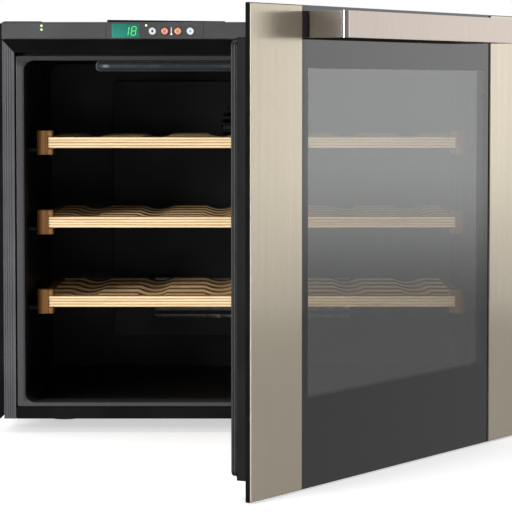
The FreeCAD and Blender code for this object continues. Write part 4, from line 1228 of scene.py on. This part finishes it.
    def key_rims(self) -> bpy.types.Object:
        """Thin raised rims round the keys' holes.

        Returns:
            The rims as one object.
        """
        fascia_low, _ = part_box("control_fascia")
        everything_off()
        bpy.ops.mesh.primitive_torus_add(
            rotation=(math.pi / 2, 0, 0),
            major_radius=self.rim_radius,
            minor_radius=self.rim_thick,
            major_segments=40,
            minor_segments=10,
        )
        rim = bpy.context.active_object
        settle(rim)
        bpy.ops.object.shade_smooth()
        places = []
        for node in KEYS:
            low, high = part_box(node)
            places.append(((low[0] + high[0]) / 2, fascia_low[1], (low[2] + high[2]) / 2))
        return repeated("key_rims", rim, places)

    def lights(self) -> None:
        """The light pipes."""
        green = Lit("indicator_glow", (0.72, 1.0, 0.5), 1.6, (0.5, 0.7, 0.4), 500.0).make()
        dress([softened("indicator_lights", 0.3 * MM, 3)], green)


@dataclass
class Cavity:
    """Liner, lamp, duct cover, fans and everything else behind the shelves."""

    flange: float = 8.8 * MM
    flange_fade: float = 4 * MM
    # Depth over which the flange's painted highlight fades to painted shade.
    light_fade_depth: float = 55 * MM
    dark: bpy.types.Material = field(
        default_factory=lambda: Moulded(
            "cavity_plastic", (0.004, 0.004, 0.0045), 0.32, 500.0, 0.00004, 0.1, 0.3
        ).make()
    )

    def build(self) -> None:
        """Shapes and dresses the cavity."""
        dress([softened("inner_liner", 0.7 * MM, 3)], self.liner())
        dress([softened("shelf_runners", 0.6 * MM)], self.dark)
        dress([softened("air_duct_cover", 1.0 * MM, 3)], self.dark)
        black = Moulded("fan_plastic", (0.018, 0.018, 0.019), 0.42).make()
        for node in ("circulation_fan_frame", "circulation_fan_rotor"):
            dress_node(node, black)
        dress_node("evaporator_plate", Metal("bare_aluminium", (0.75, 0.76, 0.78), 0.35).make())
        dress([softened("lamp_housing", 0.8 * MM, 3)], black)
        dress([softened("lamp_lens", 0.8 * MM, 3)], self.lens())
        strip = Lit("led_strip", (0.5, 0.9, 1.0), 0.4, (0.3, 0.4, 0.4), 90.0)
        dress_node("led_strip", strip.make())

    def liner(self) -> bpy.types.Material:
        """Black plastic whose front flange is painted a paler grey: a painted highlight on the flange, fading to
        painted shade with depth into the cavity and near its top.

        Returns:
            The material.
        """
        low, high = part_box("inner_liner")
        front = low[1]
        bench = Bench("liner_plastic")
        spot = bench.place()
        across, depth, upward = bench.axes(spot)
        beside = across.distance() - high[0]
        above = (upward - (low[2] + high[2]) / 2).distance() - (high[2] - low[2]) / 2
        rim = (beside.larger(above) + self.flange).ramp(0.0, self.flange_fade, 0.35, 1.0)
        # Paler at the flange, fading with depth and near the top: a painted highlight, with painted shade further
        # in.
        paler_tone = rim * depth.ramp(front + 1 * MM, front + self.light_fade_depth, 1.0, 0.0)
        paler_tone = paler_tone * upward.ramp(high[2] - 14 * MM, high[2] - 7 * MM, 1.0, 0.4)
        cloud = bench.noise(spot, 14.0, 4.0)
        return bench.surface(
            {
                "Base Color": bench.blend(paler_tone, (0.0035, 0.0035, 0.004), (0.06, 0.057, 0.062)),
                "Roughness": cloud.ramp(0.2, 0.8, 0.28, 0.4),
                "Specular IOR Level": 0.3,
                "Normal": bench.bump(bench.noise(spot, 500.0, 2.0), 0.00004),
            }
        )

    def lens(self) -> bpy.types.Material:
        """Smoked lens with a dim bright line along it and a painted highlight, a brighter glowing spot, near its
        left end.

        Returns:
            The material.
        """
        low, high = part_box("lamp_lens")
        bench = Bench("lamp_lens")
        across, _, upward = bench.axes(bench.place())
        middle = (low[2] + high[2]) / 2
        line = (upward - middle).distance().ramp(0.6 * MM, 2.2 * MM, 1.0, 0.0)
        # A brighter spot near the left end: a painted highlight, added to the glow.
        end = (across - (low[0] + 8 * MM)).distance().ramp(1.0 * MM, 5.0 * MM, 1.0, 0.0)
        cloud = bench.noise(bench.place(), 35.0, 2.0)
        glow = line * cloud.ramp(0.3, 0.7, 0.012, 0.04) + line * end * 0.2
        return bench.surface(
            {
                "Base Color": (0.01, 0.012, 0.013, 1.0),
                "Roughness": cloud.ramp(0.2, 0.8, 0.2, 0.35),
                "Specular IOR Level": 0.25,
                "Emission Color": bench.blend(glow, (0.006, 0.008, 0.009), (0.72, 0.92, 1.0)),
                "Emission Strength": 1.0,
            }
        )


@dataclass
class Shelf:
    """One beech shelf: a laminated front rail, end blocks and scooped slats."""

    name: str
    plies: int = 4
    rail_edge: float = 0.45 * MM
    ply_step: float = 0.12 * MM
    jaw_length: float = 18.5 * MM
    jaw_gap: float = 0.15 * MM
    jaw_edge: float = 1.3 * MM
    cheek_edge: float = 1.1 * MM
    cheek_round: float = 9 * MM
    nail_radius: float = 0.8 * MM
    nail_gap: float = 3.7 * MM

    @property
    def body(self) -> str:
        """The body that the shelf rides on."""
        return f"{self.name}_shelf"

    def node(self, part: str) -> str:
        """The CAD node of one of the shelf's parts."""
        return f"shelf_{self.name}_{part}"

    def build(self) -> None:
        """Models and dresses the shelf."""
        low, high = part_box(self.node("front_rail"))
        ply = (high[2] - low[2]) / self.plies
        rail_wood = Beech(f"beech_rail_{self.name}", layer=ply, layer_start=low[2]).make()
        self.rail(low, high, ply, rail_wood)
        # The slats take the beech much darker than the rail: painted shade inside the cabinet.
        shaded_slat_wood = Beech(f"shaded_beech_slats_{self.name}", (0.45, 0.3, 0.15), (0.27, 0.15, 0.06))
        dress([softened(self.node("slats"), 0.5 * MM)], shaded_slat_wood.make())
        self.end_blocks()

    def rail(
        self, low: Sequence[float], high: Sequence[float], ply: float, wood: bpy.types.Material
    ) -> None:
        """The front rail, glued up from plies with eased edges.

        Args:
            low: the rail's low corner.
            high: its high corner.
            ply: the thickness of a ply.
            wood: its finish.
        """
        plies = []
        for step in range(self.plies):
            inset = 0.0 if step in (0, self.plies - 1) else self.ply_step
            bar = block(
                "ply",
                (low[0], low[1] + inset, low[2] + step * ply),
                (high[0], high[1], low[2] + (step + 1) * ply),
            )
            bevel(bar, self.rail_edge, 2)
            plies.append(bar)
        rail = join(f"{self.node('front_rail')}_plies", plies)
        dress([rail], wood)
        attach(rail, self.body)
        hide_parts(self.node("front_rail"))

    def end_blocks(self) -> None:
        """Blocks at both ends, with a rounded cheek outside and jaws that clasp the rail."""
        low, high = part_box(self.node("end_blocks"))
        rail_low, rail_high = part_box(self.node("front_rail"))
        jaw = high[0] - self.jaw_length
        cheek = block("cheek", (rail_high[0], low[1], low[2]), high)
        self.round_cheek(cheek, low[1])
        bevel(cheek, self.cheek_edge, 3)
        pieces = [cheek]
        upper = (rail_high[2] + self.jaw_gap, high[2])
        lower = (low[2], rail_low[2] - self.jaw_gap)
        for foot, head in (upper, lower):
            piece = block("jaw", (jaw, low[1], foot), (rail_high[0] + 0.4 * MM, high[1], head))
            bevel(piece, self.jaw_edge, 3)
            pieces.append(piece)
        right = join("right_block", pieces)
        blocks = [right, copied(right, MIRROR)]
        nail = disc("nail", (0, 0, 0), self.nail_radius, 0.4 * MM, "Y", 16)
        bevel(nail, 0.12 * MM, 2)
        levels = (rail_high[2] + self.nail_gap, rail_low[2] - self.nail_gap)
        places = [
            (side * (jaw + 2.9 * MM), low[1] - 0.02 * MM, level)
            for side in (-1, 1)
            for level in levels
        ]
        joined = join(f"{self.node('end_blocks')}_shaped", blocks)
        # The blocks take the beech much darker than the rail: painted shade.
        wood = Beech(
            f"shaded_beech_block_{self.name}", (0.2, 0.09, 0.025), (0.1, 0.04, 0.01), Grain.Z, rough=0.4
        )
        dress([joined], wood.make())
        attach(joined, self.body)
        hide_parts(self.node("end_blocks"))
        pins = repeated(f"shelf_{self.name}_nails", nail, places)
        dress([pins], Metal(f"nail_steel_{self.name}", (0.35, 0.3, 0.24), 0.4).make())
        attach(pins, self.body)

    def round_cheek(self, cheek: bpy.types.Object, front: float) -> None:
        """Turns the cheek's outer front edge into a broad round.

        Args:
            cheek: the cheek's block.
            front: the y of its front.
        """
        only(cheek)
        bpy.ops.object.mode_set(mode="EDIT")
        bpy.ops.mesh.select_mode(type="EDGE")
        bpy.ops.mesh.select_all(action="DESELECT")
        bpy.ops.object.mode_set(mode="OBJECT")
        points = cheek.data.vertices
        outer = max(vertex.co.x for vertex in points)
        near = 0.01 * MM
        for edge in cheek.data.edges:
            ends = [points[number].co for number in edge.vertices]
            edge.select = all(
                abs(end.x - outer) < near and abs(end.y - front) < near for end in ends
            )
        bpy.ops.object.mode_set(mode="EDIT")
        bpy.ops.mesh.bevel(offset=self.cheek_round, segments=6, affect="EDGES")
        done_editing()


@dataclass
class Machinery:
    """Compressor, condenser, fan, pipes and electrics behind the rear cover."""

    bracket_edge: float = 0.4 * MM

    def build(self) -> None:
        """Dresses the machine compartment."""
        dress_node("compressor", Painted("compressor_paint", (0.012, 0.012, 0.013), 0.25).make())
        dress_node("condenser_coil", Metal("coil_aluminium", (0.7, 0.71, 0.73), 0.35).make())
        black = Moulded("condenser_fan_plastic", (0.015, 0.015, 0.016), 0.42).make()
        for node in ("condenser_fan_frame", "condenser_fan_rotor"):
            dress_node(node, black)
        dress_node("refrigerant_pipes", Metal("pipe_copper", (0.72, 0.38, 0.22), 0.3).make())
        dress_node("power_board_case", Moulded("grey_plastic", (0.3, 0.3, 0.31), 0.5).make())
        dress_node("power_inlet", Moulded("inlet_plastic", (0.014, 0.014, 0.015), 0.4).make())
        steel = Metal("hinge_steel", (0.45, 0.45, 0.46), 0.34).make()
        for node in ("hinge_bracket_top", "hinge_bracket_bottom"):
            dress([softened(node, self.bracket_edge)], steel)
        for node in ("hinge_pins", "hinge_screws"):
            dress_node(node, steel)


@dataclass
class Door:
    """Glazing, steel strips, inner frame, gasket, handle and bushes."""

    border: float = 14 * MM
    top_border: float = 59 * MM
    low_border: float = 86 * MM
    glass_edge: float = 1.4 * MM
    strip_edge: float = 0.35 * MM
    handle_edge: float = 0.7 * MM

    def build(self) -> None:
        """Models and dresses the door."""
        self.glass()
        self.strips()
        self.inner_frame()
        self.handle()

    def window(self) -> tuple[float, float, float, float]:
        """The clear window in the shut door's coordinates.

        Returns:
            Its left, right, low and high.
        """
        left_strip = HINGE.shut_box("steel_strip_left")[1][0]
        right_strip = HINGE.shut_box("steel_strip_right")[0][0]
        low, high = HINGE.shut_box("door_outer_glass")
        return (
            left_strip + self.border,
            right_strip - self.border,
            low[2] + self.low_border,
            high[2] - self.top_border,
        )

    def glass(self) -> None:
        """Outer and inner panes."""
        outer = TintedPane("door_glass", self.window(), 0.38, (0.325, 0.335, 0.328), 1.0, 1.59)
        pane = softened("door_outer_glass", self.glass_edge, 3)
        dress([pane], outer.make())
        ground = Moulded("glass_edge_black", (0.002, 0.002, 0.002), 0.6, shine=0.03).make()
        self.dress_edges(pane, ground, 0.95)
        inner = TintedPane("inner_glass", self.window(), 0.08, (0.02, 0.02, 0.02), printed=False)
        dress([softened("door_inner_glass", 0.3 * MM)], inner.make())
        spacer = Moulded("spacer_black", (0.006, 0.006, 0.006), 0.5, shine=0.2)
        dress_node("door_spacer", spacer.make())

    def strips(self) -> None:
        """Steel strips with upright grain."""
        steel = Brushed("strip_steel", (0.583, 0.52, 0.406), Grain.Z, 0.16, 0.00009, 0.045).make()
        cut = Brushed(
            "strip_cut_edge", (0.42, 0.385, 0.32), Grain.Z, 0.5, 0.00009, 0.045, 0.3
        ).make()
        for node in ("steel_strip_left", "steel_strip_right"):
            strip = softened(node, self.strip_edge, 3)
            dress([strip], steel)
            self.dress_edges(strip, cut, 0.8)

    def dress_edges(
        self, piece: bpy.types.Object, material: bpy.types.Material, limit: float
    ) -> None:
        """Gives the faces round a flat door piece's edges their own finish.

        Args:
            piece: a flat piece of the door.
            material: the edge's finish.
            limit: how far a face turns from the door's own face before it counts as edge,
                as the cosine of the angle between them.
        """
        outward = Vector((math.sin(HINGE.open_angle), -math.cos(HINGE.open_angle), 0))
        piece.data.materials.append(material)
        for face in piece.data.polygons:
            if abs(face.normal.dot(outward)) < limit:
                face.material_index = 1

    def inner_frame(self) -> None:
        """Frame, gasket and bushes."""
        frame_plastic = Moulded("door_frame_plastic", (0.003, 0.003, 0.0035), 0.45, shine=0.08)
        dress([softened("door_frame", 0.8 * MM, 3)], frame_plastic.make())
        rubber = Rubber("gasket_rubber", (0.004, 0.004, 0.0045))
        dress([softened("door_gasket", 0.5 * MM)], rubber.make())
        dress_node("hinge_bushes", Moulded("bush_plastic", (0.7, 0.7, 0.66), 0.5).make())
        dress_node("handle_screws", Metal("handle_screw_steel", (0.6, 0.6, 0.6), 0.3).make())

    def handle(self) -> None:
        """Flat bar bent to a U: satin along the front, polished at the ends."""
        bench = Bench("handle_steel")
        spot = HINGE.shut_place(bench)
        low, high = HINGE.shut_box("door_handle")
        across = bench.axes(spot)[0]
        grain = bench.noise(bench.stretch(spot, Grain.Z.value), 2200.0, 3.0, 0.6)
        middle, half = (low[0] + high[0]) / 2, (high[0] - low[0]) / 2
        plate = (across - middle).distance().ramp(half - 7 * MM, half - 2 * MM)
        tone = grain.ramp(0.3, 0.7)
        satin = bench.blend(tone, (0.54, 0.47, 0.42), (0.65, 0.565, 0.505))
        material = bench.surface(
            {
                "Base Color": bench.blend(plate, satin, (0.62, 0.575, 0.56)),
                "Metallic": 1.0,
                "Roughness": 0.34 - plate * 0.24 + tone * 0.04,
                "Normal": bench.bump(grain, 0.000015, 0.5),
            }
        )
        dress([softened("door_handle", self.handle_edge, 3)], material)


# ------------------------------------------------------------------------------------ studio


@dataclass
class Studio:
    """Camera, floor, backdrop and lights."""

    camera_place: Vector = field(default_factory=lambda: Vector((0.00464, -3.2154, 0.36265)))
    camera_pitch: float = 0.0619
    camera_lens: float = 189.13
    floor_size: float = 30.0
    floor_glow: float = 0.52
    table_size: float = 12.0
    row_middle: Vector = field(default_factory=lambda: Vector((1.618, 0.291, 0.8)))
    row_away: Vector = field(default_factory=lambda: Vector((0.8755, 0.4832, 0)))
    row_height: float = 1.6

    def build(self) -> None:
        """Sets the studio up."""
        self.camera()
        self.floor()
        self.cards()
        self.world()
        self.lamps()

    def camera(self) -> None:
        """The camera, level from side to side and tipped down a little."""
        data = bpy.data.cameras.new("camera")
        data.lens = self.camera_lens
        data.sensor_width = 36.0
        data.clip_end = 50.0
        camera = bpy.data.objects.new("camera", data)
        camera.location = self.camera_place
        camera.rotation_euler = Euler((math.pi / 2 - self.camera_pitch, 0, 0))
        bpy.context.collection.objects.link(camera)
        bpy.context.scene.camera = camera

    def floor(self) -> None:
        """A wide pale floor under the feet."""
        low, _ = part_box("feet")
        everything_off()
        below = (0, 0, low[2] - 0.2 * MM)
        bpy.ops.mesh.primitive_plane_add(size=self.floor_size, location=below)
        floor = bpy.context.active_object
        floor.name = "studio_floor"
        settle(floor)
        bench = Bench("floor_paint")
        cloud = bench.noise(bench.place(), 2.0, 3.0)
        paint = bench.surface(
            {
                "Base Color": bench.blend(cloud, (0.83, 0.83, 0.83), (0.86, 0.86, 0.86)),
                "Roughness": 0.8,
                "Specular IOR Level": 0.2,
                "Emission Color": (1.0, 1.0, 1.0, 1.0),
                "Emission Strength": self.floor_glow,
            }
        )
        dress([floor], paint)

    def cards(self) -> None:
        """Reflection cards that only gloss sees: one on the floor and three upright in a row."""
        low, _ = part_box("feet")
        everything_off()
        bpy.ops.mesh.primitive_plane_add(size=self.table_size, location=(0, 0, low[2] + 0.5 * MM))
        self.card(bpy.context.active_object, CardGlow("table_card", 0.42, 0.42))
        self.upright(-0.8, -0.073, CardGlow("side_card_near", 0.85, 0.85))
        self.upright(-0.073, 0.236, CardGlow("side_card_middle", 0.45, 1.48, 0.0, 0.26))
        self.upright(0.236, 0.8, CardGlow("side_card_far", 0.8, 1.2, 0.1, 0.4))

    def upright(self, start: float, end: float, glow: CardGlow) -> None:
        """Stands one card in the row to the right of the cabinet.

        Args:
            start: its near edge, from the middle of the row.
            end: its far edge, from the middle of the row.
            glow: its light.
        """
        away = self.row_away.normalized()
        along = Vector((-away.y, away.x, 0))
        centre = self.row_middle + along * (start + end) / 2
        heading = away.to_track_quat("Z", "Y").to_euler()
        everything_off()
        bpy.ops.mesh.primitive_plane_add(
            size=self.row_height, location=centre, rotation=heading
        )
        side = bpy.context.active_object
        side.scale.x = (end - start) / self.row_height
        self.card(side, glow)

    def card(self, card: bpy.types.Object, glow: CardGlow) -> None:
        """Makes a plane glow, for reflections only.

        Args:
            card: the plane.
            glow: its light.
        """
        card.name = glow.name
        settle(card)
        dress([card], glow.make())
        card.visible_camera = False
        card.visible_diffuse = False
        card.visible_shadow = False
        card.visible_transmission = False

    def world(self) -> None:
        """White towards the back, greyer towards the front."""
        world = bpy.data.worlds.new("studio")
        bpy.context.scene.world = world
        world.use_nodes = True
        nodes = world.node_tree.nodes
        links = world.node_tree.links
        nodes.clear()
        output = nodes.new("ShaderNodeOutputWorld")
        sky = nodes.new("ShaderNodeBackground")
        coordinates = nodes.new("ShaderNodeTexCoord")
        parts = nodes.new("ShaderNodeSeparateXYZ")
        grade = nodes.new("ShaderNodeMapRange")
        grade.interpolation_type = "SMOOTHSTEP"
        sky.inputs["Color"].default_value = (1.0, 1.0, 1.0, 1.0)
        links.new(coordinates.outputs["Generated"], parts.inputs[0])
        links.new(parts.outputs[1], grade.inputs[0])
        from_low, from_high, to_low, to_high = grade.inputs[1:5]
        from_low.default_value, from_high.default_value = -0.6, 0.5
        to_low.default_value, to_high.default_value = 0.2, 1.0
        links.new(grade.outputs[0], sky.inputs["Strength"])
        links.new(sky.outputs[0], output.inputs["Surface"])

    def lamps(self) -> None:
        """Large soft lights in front and above."""
        self.lamp("front_key", (-1.7, -2.5, 0.6), (0, -0.2, 0.22), 0.9, 62.0)
        self.lamp("top_soft", (0.1, -0.2, 2.2), (0, -0.1, 0.2), 1.8, 10.0)

    def lamp(
        self, name: str, place: Sequence[float], aim: Sequence[float], size: float, power: float
    ) -> None:
        """Adds a square soft light that faces a point.

        Args:
            name: the light's name.
            place: where it hangs.
            aim: the point that it faces.
            size: the length of its side in metres.
            power: its power in watts.
        """
        data = bpy.data.lights.new(name, "AREA")
        data.size = size
        data.energy = power
        lamp = bpy.data.objects.new(name, data)
        lamp.location = place
        heading = Vector(aim) - Vector(place)
        lamp.rotation_euler = heading.to_track_quat("-Z", "Y").to_euler()
        bpy.context.collection.objects.link(lamp)


def main() -> None:
    """Builds the object's sub-assemblies and the studio in order."""
    logging.basicConfig(level=logging.INFO, format="%(name)s: %(message)s")
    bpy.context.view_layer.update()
    bpy.context.scene.view_settings.view_transform = "Standard"
    Studio().build()
    Casing().build()
    Panel().build()
    Cavity().build()
    for name in ("lower", "middle", "upper"):
        Shelf(name).build()
    Machinery().build()
    Door().build()


if __name__ == "__main__":
    main()
